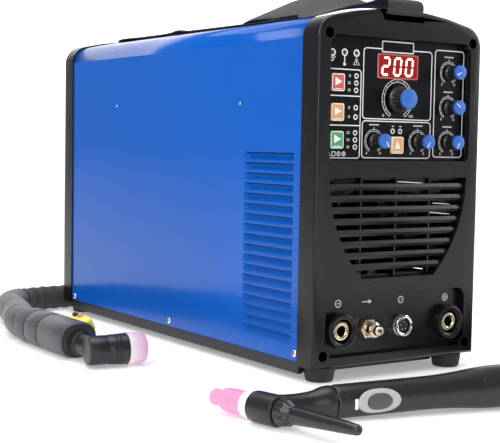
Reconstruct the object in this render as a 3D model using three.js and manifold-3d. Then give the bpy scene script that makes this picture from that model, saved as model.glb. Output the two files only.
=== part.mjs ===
// An inverter welding machine with its TIG torch and its plasma cutting torch.
// Millimetres. +X is to the right seen from the front, +Y runs to the back, +Z is up.
// The origin is the centre of the base pan's underside.
import * as THREE from "three";
import { mergeVertices } from "three/addons/utils/BufferGeometryUtils.js";
import Module from "manifold-3d";

const wasm = await Module();
wasm.setup();

// ---------- driving dimensions ----------
const GAP = 0.3; // between two pieces that touch

const BODY_WIDTH = 190;
const BODY_DEPTH = 510;
const BODY_HEIGHT = 315.5; // bezel, from its bottom edge to the crown
const CROWN_RADIUS = 316;
const CORNER_RADIUS = 20;
const BEZEL_DEPTH = 23;
const BEZEL_WALL = 3;
const BEZEL_LIFT = 7.5; // bezel's bottom edge above the pan's underside
const FOOT_DROP = 6; // floor below the pan's underside
const FOOT_RADIUS = 14;
const FOOT_INSET_X = 20;
const FOOT_INSET_Y = 16;

const COVER_INSET = 1.5; // cover's skin inside the bezel's outline
const COVER_WALL = 1.5;
const COVER_SKIRT = 3.3; // cover's lower edge above the bezel's bottom edge
const LOUVRE_COUNT = 18;
const LOUVRE_PITCH = 9.46;
const LOUVRE_HEIGHT = 8.2;
const LOUVRE_DEPTH = 4.2;
const LOUVRE_TOP = 186.5;
const LOUVRE_FRONT = 11.5; // first louvre edge behind the front bezel
const LOUVRE_LENGTH = 79;

const PAN_WALL = 1.5;
const PAN_FLANGE = 12;

const RECESS_DEPTH = 7;
const RECESS_HALF = 81.5;
const PANEL_BOTTOM = 181;
const PANEL_TOP = 289;
const PLATE = 2; // control panel and connector plate
const LEDGE = 3;
const LEDGE_WIDTH = 5;
const BAY_BOTTOM = 8.5;
const BAY_TOP = 63;
const GRILLE_TOP = 166;
const GRILLE_BOTTOM = 76.6;
const GRILLE_HALF = 80;
const GRILLE_RADIUS = 125;
const SLAT_COUNT = 8;
const SLAT_PITCH = 10.15;
const SLAT_HEIGHT = 6;
const SLAT_DEPTH = 7;
const BOSS_RADIUS = 7;
const STRAP_WIDTH = 42;
const STRAP_THICKNESS = 3.4;
const STRAP_WINDOW = 46;
const STRAP_BAR = 3; // bezel material over the strap window
const STRAP_GAP = 8;

const KNOB_LENGTH = 17;
const SHAFT_RADIUS = 3;
const SHAFT_CLEARANCE = 0.5;
const BIG_KNOB_RADIUS = 12;
const BIG_CAP_RADIUS = 9;
const SMALL_KNOB_RADIUS = 7;
const BUTTON_WIDTH = 14.6;
const BUTTON_HEIGHT = 15.6;
const BUTTON_PROUD = 2;
const BUTTON_TRAVEL = 1.2;
const DISPLAY_WIDTH = 47;
const DISPLAY_HEIGHT = 22;
const DISPLAY_X = -1;
const DISPLAY_Z = 265;

const SOCKET_MARGIN = 2.8; // collar's edge to the side of its recess
const SOCKET_Z = 31.5;
const COLLAR_RADIUS = 15.5;
const COLLAR_BORE = 10.6;
const INSERT_RADIUS = 8.4;
const INSERT_BORE = 4.8;
const SOCKET_PROUD = 10; // collar's face in front of the connector plate
const GAS_X = -31.5;
const CONTROL_X = 8.5;
const CONTROL_RADIUS = 9.8;

const FAN_SIZE = 119;
const FAN_DEPTH = 25;
const FAN_BORE = 56;
const FAN_BLADE_RADIUS = 53;
const FAN_HUB_RADIUS = 20;
const FAN_BLADES = 7;
const FAN_Z = 150;

const TIG_ANGLE = -12; // handle's heading in plan
const TIG_HEAD_ANGLE = 112; // from the handle's axis to the nozzle's
const TIG_HEAD = [-208, -351];
const TIG_HANDLE_LENGTH = 205;
const TIG_NECK = 54; // head's axis to the handle's front edge
const TIG_HEAD_RADIUS = 12;
const TIG_HANDLE_RADIUS = 13;
const TIG_HUMP_RADIUS = 17;
const TIG_CABLE_DIAMETER = 12;
const PLASMA_HANDLE_LENGTH = 118;
const PLASMA_RADIUS = 17.5;
const PLASMA_HEAD_RADIUS = 13.5;
const SLEEVE_DIAMETER = 29;
const PLASMA_CABLE_DIAMETER = 12;
const COIL_RADIUS = 66; // middle of the turns
const COIL_COLUMNS = 4;
const COIL_LAYERS = 2;

// ---------- worked out from them ----------
const HALF_WIDTH = BODY_WIDTH / 2;
const FRONT = -BODY_DEPTH / 2;
const BACK = BODY_DEPTH / 2;
const FRONT_BEZEL_BACK = FRONT + BEZEL_DEPTH;
const REAR_BEZEL_FRONT = BACK - BEZEL_DEPTH;
const PANEL_FACE = FRONT + RECESS_DEPTH;
const LEDGE_FACE = PANEL_FACE + PLATE + GAP;
const FLOOR = -FOOT_DROP;
const PAN_TOP = BEZEL_LIFT + COVER_SKIRT - GAP;
const SOCKET_X = RECESS_HALF - COLLAR_RADIUS - SOCKET_MARGIN;

const KNOBS = {
  pre_flow_knob: [60.5, 262.3],
  post_flow_knob: [60.5, 230.3],
  down_slope_knob: [60.5, 198.3],
  frequency_knob: [-26.8, 198.3],
  balance_knob: [24.5, 198.3],
};
const CURRENT_KNOB = [-0.5, 236];
const BUTTONS = {
  process_button: [-69, 248.5, 0xd8575a],
  gas_button: [-69, 222.8, 0xe3a55a],
  trigger_mode_button: [-69, 198.8, 0x4fae6d],
  output_button: [-0.4, 194.9, 0xe3a55a],
};

// ---------- solids ----------
function solid(shape) {
  if (!(shape instanceof THREE.BufferGeometry)) return shape;
  const bare = shape.index ? shape.toNonIndexed() : shape.clone();
  bare.deleteAttribute("normal");
  bare.deleteAttribute("uv");
  const merged = mergeVertices(bare, 1e-4);
  const corners = merged.index.array;
  const kept = [];
  for (let i = 0; i < corners.length; i += 3) {
    const [a, b, c] = corners.slice(i, i + 3);
    if (a !== b && b !== c && c !== a) kept.push(a, b, c);
  }
  const vertProperties = merged.attributes.position.array;
  return new wasm.Manifold(new wasm.Mesh({ numProp: 3, vertProperties, triVerts: new Uint32Array(kept) }));
}

function join(...shapes) {
  return shapes.map(solid).reduce((all, next) => all.add(next));
}

function cut(shape, ...tools) {
  return tools.map(solid).reduce((left, tool) => left.subtract(tool), solid(shape));
}

function geometryOf(shape) {
  const mesh = solid(shape).getMesh();
  const geometry = new THREE.BufferGeometry();
  geometry.setAttribute("position", new THREE.BufferAttribute(new Float32Array(mesh.vertProperties), 3));
  geometry.setIndex(new THREE.BufferAttribute(new Uint32Array(mesh.triVerts), 1));
  geometry.computeVertexNormals();
  return geometry;
}

const FINISHES = {
  blackPlastic: { color: 0x1a1b20, roughness: 0.45, metalness: 0 },
  blackSteel: { color: 0x141416, roughness: 0.5, metalness: 0.3 },
  bluePaint: { color: 0x0060c8, roughness: 0.22, metalness: 0.1 },
  panelPrint: { color: 0x0d0d14, roughness: 0.35, metalness: 0 },
  redWindow: { color: 0xb01018, roughness: 0.15, metalness: 0 },
  rubber: { color: 0x101012, roughness: 0.8, metalness: 0 },
  brass: { color: 0xc9a253, roughness: 0.3, metalness: 0.9 },
  nickel: { color: 0xc8bda5, roughness: 0.25, metalness: 0.9 },
  chrome: { color: 0xd8d8da, roughness: 0.12, metalness: 1 },
  aluminium: { color: 0xb9bcc0, roughness: 0.4, metalness: 0.9 },
  board: { color: 0x1d5a35, roughness: 0.5, metalness: 0 },
  copper: { color: 0x9a5a35, roughness: 0.5, metalness: 0.4 },
  webbing: { color: 0x17181a, roughness: 0.9, metalness: 0 },
  ceramic: { color: 0xf0c3e2, roughness: 0.5, metalness: 0 },
  whiteRing: { color: 0xf4f2f4, roughness: 0.4, metalness: 0 },
  torchBlack: { color: 0x26272a, roughness: 0.55, metalness: 0 },
  torchGrey: { color: 0x6b6d74, roughness: 0.55, metalness: 0 },
  paleGrey: { color: 0xc3c5c6, roughness: 0.4, metalness: 0 },
  yellow: { color: 0xe6dc1e, roughness: 0.4, metalness: 0 },
  cable: { color: 0x18181a, roughness: 0.6, metalness: 0 },
};

function piece(name, shape, finish, colour) {
  const material = new THREE.MeshStandardMaterial(FINISHES[finish]);
  if (colour !== undefined) material.color.set(colour);
  const mesh = new THREE.Mesh(geometryOf(shape), material);
  mesh.name = name;
  return mesh;
}

function box(x0, x1, y0, y1, z0, z1) {
  const geometry = new THREE.BoxGeometry(x1 - x0, y1 - y0, z1 - z0);
  return geometry.translate((x0 + x1) / 2, (y0 + y1) / 2, (z0 + z1) / 2);
}

// A turned piece: profile pairs are [radius, distance along the axis], from the near end to the far end.
function turned(profile, segments = 16) {
  return new THREE.LatheGeometry(profile.map(([r, t]) => new THREE.Vector2(r, t)), segments);
}

function rodY(radius, y0, y1, x = 0, z = 0, segments = 16) {
  return turned([[0, y0], [radius, y0], [radius, y1], [0, y1]], segments).translate(x, 0, z);
}

function rodZ(radius, z0, z1, x = 0, y = 0, segments = 16) {
  return turned([[0, z0], [radius, z0], [radius, z1], [0, z1]], segments)
      .rotateX(Math.PI / 2).translate(x, y, 0);
}

// A shape drawn in X and Z, swept along Y.
function prismY(shape, y0, y1, curveSegments = 3) {
  const swept = new THREE.ExtrudeGeometry(shape, { depth: y1 - y0, bevelEnabled: false, curveSegments });
  return swept.rotateX(Math.PI / 2).translate(0, y1, 0);
}

// A shape drawn in Y and Z, swept along X.
function prismX(shape, x0, x1, curveSegments = 3) {
  const swept = new THREE.ExtrudeGeometry(shape, { depth: x1 - x0, bevelEnabled: false, curveSegments });
  const basis = new THREE.Matrix4().makeBasis(
    new THREE.Vector3(0, 1, 0), new THREE.Vector3(0, 0, 1), new THREE.Vector3(1, 0, 0));
  return swept.applyMatrix4(basis).translate(x0, 0, 0);
}

function polygon(points) {
  return new THREE.Shape(points.map(([x, y]) => new THREE.Vector2(x, y)));
}

function roundedRectangle(x0, x1, y0, y1, radius) {
  const shape = new THREE.Shape();
  shape.absarc(x1 - radius, y0 + radius, radius, -Math.PI / 2, 0);
  shape.absarc(x1 - radius, y1 - radius, radius, 0, Math.PI / 2);
  shape.absarc(x0 + radius, y1 - radius, radius, Math.PI / 2, Math.PI);
  shape.absarc(x0 + radius, y0 + radius, radius, Math.PI, 1.5 * Math.PI);
  return shape;
}

function smooth(points) {
  return new THREE.CatmullRomCurve3(points.map(([x, y, z = 0]) => new THREE.Vector3(x, y, z)), false,
    "centripetal");
}

// The part of a longer curve between two distances along it.
class Stretch extends THREE.Curve {
  constructor(whole, from, to) {
    super();
    Object.assign(this, { whole, from, to });
  }

  getPoint(t) {
    return this.whole.getPointAt((this.from + (this.to - this.from) * t) / this.whole.getLength());
  }
}

// A round section swept along a curve.
function sweptRound(path, diameter, steps, sides = 10) {
  const section = new THREE.Shape();
  for (let i = 0; i < sides; i++) {
    const angle = ((i + 0.5) / sides) * 2 * Math.PI;
    const corner = [(diameter / 2) * Math.cos(angle), (diameter / 2) * Math.sin(angle)];
    if (i === 0) section.moveTo(...corner);
    else section.lineTo(...corner);
  }
  return new THREE.ExtrudeGeometry(section, { steps, extrudePath: path, bevelEnabled: false,
    curveSegments: 1 });
}

// ---------- housing ----------
// The arched outline of the machine, drawn in X and Z above the bezel's bottom edge.
function housingOutline(inset, bottom) {
  const half = HALF_WIDTH - inset;
  const crown = CROWN_RADIUS - inset;
  const corner = CORNER_RADIUS - inset;
  const crownCentre = BODY_HEIGHT - CROWN_RADIUS;
  const cornerX = half - corner;
  const cornerZ = crownCentre + Math.sqrt((crown - corner) ** 2 - cornerX ** 2);
  const meet = Math.atan2(cornerZ - crownCentre, cornerX);
  const shape = new THREE.Shape();
  shape.moveTo(-half, bottom);
  shape.lineTo(half, bottom);
  shape.absarc(cornerX, cornerZ, corner, 0, meet);
  shape.absarc(0, crownCentre, crown, meet, Math.PI - meet);
  shape.absarc(-cornerX, cornerZ, corner, Math.PI - meet, Math.PI);
  shape.closePath();
  return shape;
}

// The shield outline of the grille, drawn in X and Z and grown by a margin.
function grilleOutline(margin) {
  const centreX = GRILLE_HALF - GRILLE_RADIUS;
  const radius = GRILLE_RADIUS + margin;
  const top = GRILLE_TOP + margin;
  const bottom = GRILLE_BOTTOM - margin;
  const start = Math.asin((GRILLE_TOP - top) / radius);
  const end = Math.asin((GRILLE_TOP - bottom) / radius);
  const shape = new THREE.Shape();
  shape.absarc(-centreX, GRILLE_TOP, radius, Math.PI + start, Math.PI + end);
  shape.absarc(centreX, GRILLE_TOP, radius, 2 * Math.PI - end, 2 * Math.PI - start);
  return shape;
}

const STRAP_SLOT_TOP = BODY_HEIGHT - STRAP_BAR;
const STRAP_SLOT_BOTTOM = STRAP_SLOT_TOP - STRAP_GAP;

function bezelShell(front, back, wallFace, wallBack) {
  return cut(
    prismY(housingOutline(0, 0), front, back),
    prismY(housingOutline(BEZEL_WALL, BEZEL_WALL), wallFace, wallBack));
}

// A straight-sided tub that carries a recess, and what is cut out of it.
function recessTub(z0, z1) {
  const wall = BEZEL_WALL;
  return box(-RECESS_HALF - wall, RECESS_HALF + wall, FRONT + 1, LEDGE_FACE + LEDGE, z0 - wall, z1 + wall);
}

function recessCuts(z0, z1, radius) {
  const outer = roundedRectangle(-RECESS_HALF, RECESS_HALF, z0, z1, radius);
  const inner = roundedRectangle(
    -RECESS_HALF + LEDGE_WIDTH, RECESS_HALF - LEDGE_WIDTH, z0 + LEDGE_WIDTH, z1 - LEDGE_WIDTH, 2);
  return [prismY(outer, FRONT - 1, LEDGE_FACE), prismY(inner, FRONT - 1, LEDGE_FACE + LEDGE + 1)];
}

function screwPlaces() {
  return [[-83.5, 290], [83.5, 290], [-83.5, 10.8], [83.5, 10.8]];
}

function frontBezel() {
  const clip = prismY(housingOutline(BEZEL_WALL / 2, BEZEL_WALL / 2), FRONT, FRONT_BEZEL_BACK);
  const tubs = join(recessTub(PANEL_BOTTOM, PANEL_TOP), recessTub(BAY_BOTTOM,
    BAY_TOP)).intersect(solid(clip));
  const collar = prismY(grilleOutline(BEZEL_WALL), FRONT + 1, LEDGE_FACE);
  const shell = bezelShell(FRONT, FRONT_BEZEL_BACK, FRONT + BEZEL_WALL, FRONT_BEZEL_BACK + 1);
  const bar = prismY(
    roundedRectangle(-STRAP_WINDOW / 2 - 3, STRAP_WINDOW / 2 + 3, STRAP_SLOT_BOTTOM - 3, STRAP_SLOT_TOP, 1),
    FRONT + 1, FRONT_BEZEL_BACK);
  const body = join(shell, tubs, collar, solid(bar).intersect(solid(clip)));
  const opened = cut(
    body,
    ...recessCuts(PANEL_BOTTOM, PANEL_TOP, 5),
    ...recessCuts(BAY_BOTTOM, BAY_TOP, 9),
    prismY(grilleOutline(0), FRONT - 1, LEDGE_FACE + 1),
    box(-STRAP_WINDOW / 2, STRAP_WINDOW / 2, FRONT - 1, FRONT_BEZEL_BACK + 1, STRAP_SLOT_BOTTOM,
      STRAP_SLOT_TOP));
  const bosses = screwPlaces().map(([x, z]) => rodY(BOSS_RADIUS, FRONT, LEDGE_FACE + 1, x, z, 14));
  const holes = screwPlaces().map(([x, z]) => rodY(BOSS_RADIUS - 2.5, FRONT - 1, PANEL_FACE, x, z, 12));
  return piece("front_bezel", cut(join(opened, ...bosses), ...holes), "blackPlastic");
}

const REAR_GUARD_RADIUS = FAN_BORE;
const SWITCH_X = -48;
const SWITCH_Z = 256;
const SWITCH_WIDTH = 22;
const SWITCH_HEIGHT = 30;
const GLAND_X = 50;
const GLAND_Z = 256;
const GLAND_RADIUS = 9;
const INLET_X = 0;
const INLET_Z = 256;
const INLET_RADIUS = 6;

// Rings and spokes moulded across the fan opening.
function fanGuard(front, back) {
  const rings = [20, 35, 50].map((radius) =>
    turned([[radius - 1.3, front], [radius + 1.3, front], [radius + 1.3, back], [radius - 1.3, back],
      [radius - 1.3, front]], 16));
  const spokes = [0, 45, 90, 135].map((angle) =>
    box(-REAR_GUARD_RADIUS - 1, REAR_GUARD_RADIUS + 1, front, back,
      -1.5, 1.5).rotateY(THREE.MathUtils.degToRad(angle)));
  return join(...rings, ...spokes).translate(0, 0, FAN_Z);
}

function rearBezel() {
  const wallFace = BACK - BEZEL_WALL;
  const shell = bezelShell(REAR_BEZEL_FRONT, BACK, REAR_BEZEL_FRONT - 1, wallFace);
  const clip = prismY(housingOutline(BEZEL_WALL / 2, BEZEL_WALL / 2), REAR_BEZEL_FRONT, BACK);
  const bar = box(-STRAP_WINDOW / 2 - 3, STRAP_WINDOW / 2 + 3, REAR_BEZEL_FRONT, BACK - 1,
    STRAP_SLOT_BOTTOM - 3, STRAP_SLOT_TOP);
  const body = join(shell, solid(bar).intersect(solid(clip)));
  const switchHole = box(
    SWITCH_X - SWITCH_WIDTH / 2, SWITCH_X + SWITCH_WIDTH / 2, wallFace - 1, BACK + 1,
    SWITCH_Z - SWITCH_HEIGHT / 2, SWITCH_Z + SWITCH_HEIGHT / 2);
  const opened = cut(
    body,
    rodY(REAR_GUARD_RADIUS, wallFace - 1, BACK + 1, 0, FAN_Z, 16),
    rodY(GLAND_RADIUS + GAP, wallFace - 1, BACK + 1, GLAND_X, GLAND_Z, 16),
    rodY(INLET_RADIUS + GAP, wallFace - 1, BACK + 1, INLET_X, INLET_Z, 16),
    switchHole,
    box(-STRAP_WINDOW / 2, STRAP_WINDOW / 2, REAR_BEZEL_FRONT - 1, BACK + 1, STRAP_SLOT_BOTTOM,
      STRAP_SLOT_TOP));
  const screws = screwPlaces().map(([x, z]) => rodY(3.5, BACK - 1.8, BACK + 1, x, z, 8));
  return piece("rear_bezel", cut(join(opened, fanGuard(wallFace, BACK)), ...screws), "blackPlastic");
}

function louvre(side, top) {
  const outer = HALF_WIDTH - COVER_INSET;
  const bottom = top - LOUVRE_HEIGHT;
  const y0 = FRONT_BEZEL_BACK + LOUVRE_FRONT;
  const opening = box(outer - 2 * COVER_WALL, outer + 1, y0, y0 + LOUVRE_LENGTH, bottom, top);
  const flap = prismY(
    polygon([
      [outer, bottom - 0.6], [outer - LOUVRE_DEPTH, top - 0.4],
      [outer - LOUVRE_DEPTH - COVER_WALL, top - 0.4], [outer - COVER_WALL, bottom - 0.6],
    ]),
    y0, y0 + LOUVRE_LENGTH);
  if (side > 0) return { opening, flap };
  return { opening: opening.rotateZ(Math.PI).translate(0, 2 * y0 + LOUVRE_LENGTH, 0),
    flap: flap.rotateZ(Math.PI).translate(0, 2 * y0 + LOUVRE_LENGTH, 0) };
}

function cover() {
  const y0 = FRONT_BEZEL_BACK + GAP;
  const y1 = REAR_BEZEL_FRONT - GAP;
  const skin = cut(
    prismY(housingOutline(COVER_INSET, COVER_SKIRT), y0, y1),
    prismY(housingOutline(COVER_INSET + COVER_WALL, COVER_SKIRT - 1), y0 - 1, y1 + 1));
  const louvres = [];
  for (const side of [-1, 1])
    for (let i = 0; i < LOUVRE_COUNT; i++) louvres.push(louvre(side, LOUVRE_TOP - i * LOUVRE_PITCH));
  const opened = cut(skin, ...louvres.map((l) => l.opening));
  return piece("cover", join(opened, ...louvres.map((l) => l.flap)), "bluePaint");
}

function footPlaces() {
  const x = HALF_WIDTH - FOOT_INSET_X;
  const y = BACK - FOOT_INSET_Y;
  return {
    foot_front_left: [-x, -y], foot_front_right: [x, -y], foot_rear_left: [-x, y], foot_rear_right: [x, y],
  };
}

function foot(name, [x, y]) {
  const top = BEZEL_LIFT - GAP;
  const r = FOOT_RADIUS;
  const profile = [[0, FLOOR], [r - 2.5, FLOOR], [r - 1, FLOOR + 1.5], [r, top - 3], [r, top], [0, top]];
  return piece(name, turned(profile, 20).rotateX(Math.PI / 2).translate(x, y, 0), "rubber");
}

function basePan() {
  const half = HALF_WIDTH - COVER_INSET - 0.5;
  const y0 = FRONT_BEZEL_BACK + GAP;
  const y1 = REAR_BEZEL_FRONT - GAP;
  const flangeOut = HALF_WIDTH - COVER_INSET - COVER_WALL - GAP;
  const tray = cut(
    box(-half, half, y0, y1, 0, PAN_TOP),
    box(-half + PAN_WALL, half - PAN_WALL, y0 + PAN_WALL, y1 - PAN_WALL, PAN_WALL, PAN_TOP + 1));
  const flanges = [-1, 1].map((side) => {
    const [a, b] = [side * flangeOut, side * (flangeOut - PAN_WALL)];
    return box(Math.min(a, b), Math.max(a, b), y0, y1, PAN_WALL / 2, PAN_TOP + PAN_FLANGE);
  });
  const notches = Object.values(footPlaces()).map(([x, y]) => rodZ(FOOT_RADIUS + 1, -1, PAN_TOP + 30, x,
    y, 16));
  return piece("base_pan", cut(join(tray, ...flanges), ...notches), "blackSteel");
}

// ---------- front panel ----------
function controlPanel() {
  const plate = prismY(
    roundedRectangle(-RECESS_HALF + GAP, RECESS_HALF - GAP, PANEL_BOTTOM + GAP, PANEL_TOP - GAP, 5),
    PANEL_FACE, PANEL_FACE + PLATE);
  const shafts = [CURRENT_KNOB, ...Object.values(KNOBS)].map(([x, z]) =>
    rodY(SHAFT_RADIUS + SHAFT_CLEARANCE, PANEL_FACE - 1, PANEL_FACE + PLATE + 1, x, z, 12));
  const windows = Object.values(BUTTONS).map(([x, z]) =>
    box(x - BUTTON_WIDTH / 2 - GAP, x + BUTTON_WIDTH / 2 + GAP, PANEL_FACE - 1, PANEL_FACE + PLATE + 1,
      z - BUTTON_HEIGHT / 2 - GAP, z + BUTTON_HEIGHT / 2 + GAP));
  const display = box(
    DISPLAY_X - DISPLAY_WIDTH / 2 - GAP, DISPLAY_X + DISPLAY_WIDTH / 2 + GAP, PANEL_FACE - 1,
    PANEL_FACE + PLATE + 1, DISPLAY_Z - DISPLAY_HEIGHT / 2 - GAP, DISPLAY_Z + DISPLAY_HEIGHT / 2 + GAP);
  const corners = screwPlaces().map(([x, z]) => rodY(BOSS_RADIUS + GAP, PANEL_FACE - 1, PANEL_FACE + 4,
    x, z, 14));
  return piece("control_panel", cut(plate, ...shafts, ...windows, display, ...corners), "panelPrint");
}

function displayWindow() {
  const window = box(
    DISPLAY_X - DISPLAY_WIDTH / 2, DISPLAY_X + DISPLAY_WIDTH / 2, PANEL_FACE - 0.6, PANEL_FACE + PLATE + 3,
    DISPLAY_Z - DISPLAY_HEIGHT / 2, DISPLAY_Z + DISPLAY_HEIGHT / 2);
  return piece("display_window", window, "redWindow");
}

function panelButton(name, [x, z, colour]) {
  const cap = prismY(
    roundedRectangle(-BUTTON_WIDTH / 2, BUTTON_WIDTH / 2, -BUTTON_HEIGHT / 2, BUTTON_HEIGHT / 2, 2),
    PANEL_FACE - BUTTON_PROUD, PANEL_FACE + PLATE, 3);
  const mesh = piece(name, join(cap, rodY(2, PANEL_FACE + 1, PANEL_FACE + PLATE + 3, 0, 0, 12)),
    "blackPlastic", colour);
  mesh.position.set(x, 0, z);
  return mesh;
}

function knob(name, [x, z], bodyRadius, capRadius) {
  const back = PANEL_FACE - 0.8;
  const face = back - KNOB_LENGTH;
  const profile = [
    [0, face], [capRadius - 0.8, face], [capRadius, face + 0.8], [capRadius, face + 3],
    [bodyRadius - 1, back - 4], [bodyRadius, back - 3], [bodyRadius, back], [SHAFT_RADIUS, back],
    [SHAFT_RADIUS, PANEL_FACE + 5.5], [0, PANEL_FACE + 5.5],
  ];
  const mesh = piece(name, turned(profile, 16), "blackPlastic");
  mesh.position.set(x, 0, z);
  return mesh;
}

function controlBoard() {
  const face = PANEL_FACE + 12;
  const plate = box(-72, 72, face, face + 1.6, PANEL_BOTTOM + 6, PANEL_TOP - 8);
  const pots = [CURRENT_KNOB, ...Object.values(KNOBS)].map(([x, z]) =>
    rodY(7, PANEL_FACE + 5.5 + GAP, face + 0.5, x, z, 14));
  const switches = Object.values(BUTTONS).map(([x, z]) =>
    box(x - 3, x + 3, PANEL_FACE + PLATE + 3 + BUTTON_TRAVEL + GAP, face + 0.5, z - 3, z + 3));
  const display = box(
    DISPLAY_X - 21, DISPLAY_X + 21, PANEL_FACE + PLATE + 3 + GAP, face + 0.5, DISPLAY_Z - 8, DISPLAY_Z + 8);
  return piece("control_board", join(plate, ...pots, ...switches, display), "board");
}

function frontGrille() {
  const ring = cut(
    prismY(grilleOutline(BEZEL_WALL), LEDGE_FACE + GAP, LEDGE_FACE + 2 + GAP),
    prismY(grilleOutline(-2.5), LEDGE_FACE - 1, LEDGE_FACE + 4));
  const inner = solid(prismY(grilleOutline(-GAP), FRONT, LEDGE_FACE + 2 + GAP));
  const slats = [];
  for (let i = 0; i < SLAT_COUNT; i++) {
    const z = GRILLE_TOP - 8.4 - i * SLAT_PITCH;
    const face = FRONT + 2;
    const section = polygon([
      [face + 1.5, z - SLAT_HEIGHT / 2], [face, z - 0.2], [face + 1.5, z + SLAT_HEIGHT / 2],
      [face + SLAT_DEPTH + 3, z + SLAT_HEIGHT / 2], [face + SLAT_DEPTH + 3, z - SLAT_HEIGHT / 2 + 2],
    ]);
    slats.push(solid(prismX(section, -GRILLE_HALF, GRILLE_HALF)).intersect(inner));
  }
  const ribs = [-40, 0, 40].map((x) =>
    solid(box(x - 1, x + 1, FRONT + 6, LEDGE_FACE + 2 + GAP, GRILLE_BOTTOM, GRILLE_TOP)).intersect(inner));
  return piece("front_grille", join(ring, ...slats, ...ribs), "blackPlastic");
}

// ---------- connectors ----------
function connectorPlate() {
  const plate = prismY(
    roundedRectangle(-RECESS_HALF + GAP, RECESS_HALF - GAP, BAY_BOTTOM + GAP, BAY_TOP - GAP, 9),
    PANEL_FACE, PANEL_FACE + PLATE);
  const hole = (x, radius) => rodY(radius, PANEL_FACE - 1, PANEL_FACE + PLATE + 1, x, SOCKET_Z, 20);
  const corners = screwPlaces().map(([x, z]) => rodY(BOSS_RADIUS + GAP, PANEL_FACE - 1, PANEL_FACE + 4,
    x, z, 14));
  const holes = [hole(-SOCKET_X, 12 + GAP), hole(SOCKET_X, 12 + GAP), hole(GAS_X, 5 + GAP),
    hole(CONTROL_X, 8 + GAP)];
  return piece("connector_plate", cut(plate, ...holes, ...corners), "blackSteel");
}

function weldingSocket(side, x) {
  const face = PANEL_FACE - SOCKET_PROUD;
  const seat = PANEL_FACE - GAP;
  const collar = turned([
    [COLLAR_BORE, face + 1], [COLLAR_RADIUS - 1.2, face], [COLLAR_RADIUS, face + 1.2], [COLLAR_RADIUS, seat],
    [12, seat], [12, PANEL_FACE + 12], [COLLAR_BORE, PANEL_FACE + 12], [COLLAR_BORE, face + 1],
  ], 16);
  const r = INSERT_RADIUS;
  const insert = turned([
    [0, face + 24], [INSERT_BORE, face + 24], [INSERT_BORE, face + 3], [r, face + 3], [r,
    PANEL_FACE + 12 + GAP],
    [COLLAR_BORE + 1, PANEL_FACE + 12 + GAP], [COLLAR_BORE + 1, PANEL_FACE + 20], [0, PANEL_FACE + 20],
  ], 16);
  return [collar, insert].map((shape, i) => {
    const name = ["socket_collar_", "socket_insert_"][i] + side;
    const mesh = piece(name, shape, ["blackPlastic", "brass"][i]);
    mesh.position.set(x, 0, SOCKET_Z);
    return mesh;
  });
}

function gasOutlet() {
  const seat = PANEL_FACE - GAP;
  const hex = turned([[0, seat - 7], [9.6, seat - 7], [9.6, seat], [0, seat]], 6);
  const stem = turned([
    [0, seat - 21.5], [4.2, seat - 21.5], [4.8, seat - 19], [4.8, seat - 16], [6.8, seat - 14],
    [6.8, seat - 6], [4.9, seat - 6], [4.9, PANEL_FACE + 14], [0, PANEL_FACE + 14],
  ], 16);
  const bore = rodY(1.8, seat - 22, seat + 4, 0, 0, 12);
  const mesh = piece("gas_outlet", cut(join(hex, stem), bore), "nickel");
  mesh.position.set(GAS_X, 0, SOCKET_Z);
  return mesh;
}

function controlSocket() {
  const face = PANEL_FACE - 8;
  const seat = PANEL_FACE - GAP;
  const shell = turned([
    [0, face + 6.5], [7, face + 6.5], [7, face + 0.6], [7.8, face], [CONTROL_RADIUS - 0.8, face],
    [CONTROL_RADIUS, face + 1], [CONTROL_RADIUS, seat], [7.8, seat], [7.8, PANEL_FACE + 12], [0,
    PANEL_FACE + 12],
  ], 16);
  const mesh = piece("control_socket", shell, "chrome");
  mesh.position.set(CONTROL_X, 0, SOCKET_Z);
  return mesh;
}

// ---------- rear fittings ----------
function powerSwitch() {
  const w = SWITCH_WIDTH / 2 - 0.6;
  const h = SWITCH_HEIGHT / 2 - 2;
  const rocker = prismX(
    polygon([[BACK - 9, -4], [BACK - 1, -h], [BACK + 0.4, -h], [BACK - 0.4, 0], [BACK + 2.4, h],
      [BACK - 1, h],
      [BACK - 9, 4]]),
    -w, w);
  const mesh = piece("power_switch", rocker, "blackPlastic");
  mesh.position.set(SWITCH_X, 0, SWITCH_Z);
  return mesh;
}

function cableGland() {
  const seat = BACK + GAP;
  const shape = turned([
    [5, BACK - 12], [GLAND_RADIUS, BACK - 12], [GLAND_RADIUS, seat], [12.5, seat], [12.5, seat + 6],
    [10.5, seat + 8], [10, seat + 17], [7.5, seat + 22], [5, seat + 22], [5, BACK - 12],
  ], 16);
  const mesh = piece("cable_gland", shape, "blackPlastic");
  mesh.position.set(GLAND_X, 0, GLAND_Z);
  return mesh;
}

function gasInlet() {
  const seat = BACK + GAP;
  const hex = turned([[0, seat], [9, seat], [9, seat + 6], [0, seat + 6]], 6);
  const stem = turned([
    [0, BACK - 14], [INLET_RADIUS, BACK - 14], [INLET_RADIUS, seat + 1], [5, seat + 1], [5, seat + 14],
    [6, seat + 16], [4.2, seat + 24], [0, seat + 24],
  ], 16);
  const mesh = piece("gas_inlet", cut(join(hex, stem), rodY(1.8, seat + 4, seat + 25, 0, 0, 12)), "brass");
  mesh.position.set(INLET_X, 0, INLET_Z);
  return mesh;
}

// ---------- inside ----------
const FAN_BACK = REAR_BEZEL_FRONT - 4;

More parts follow.
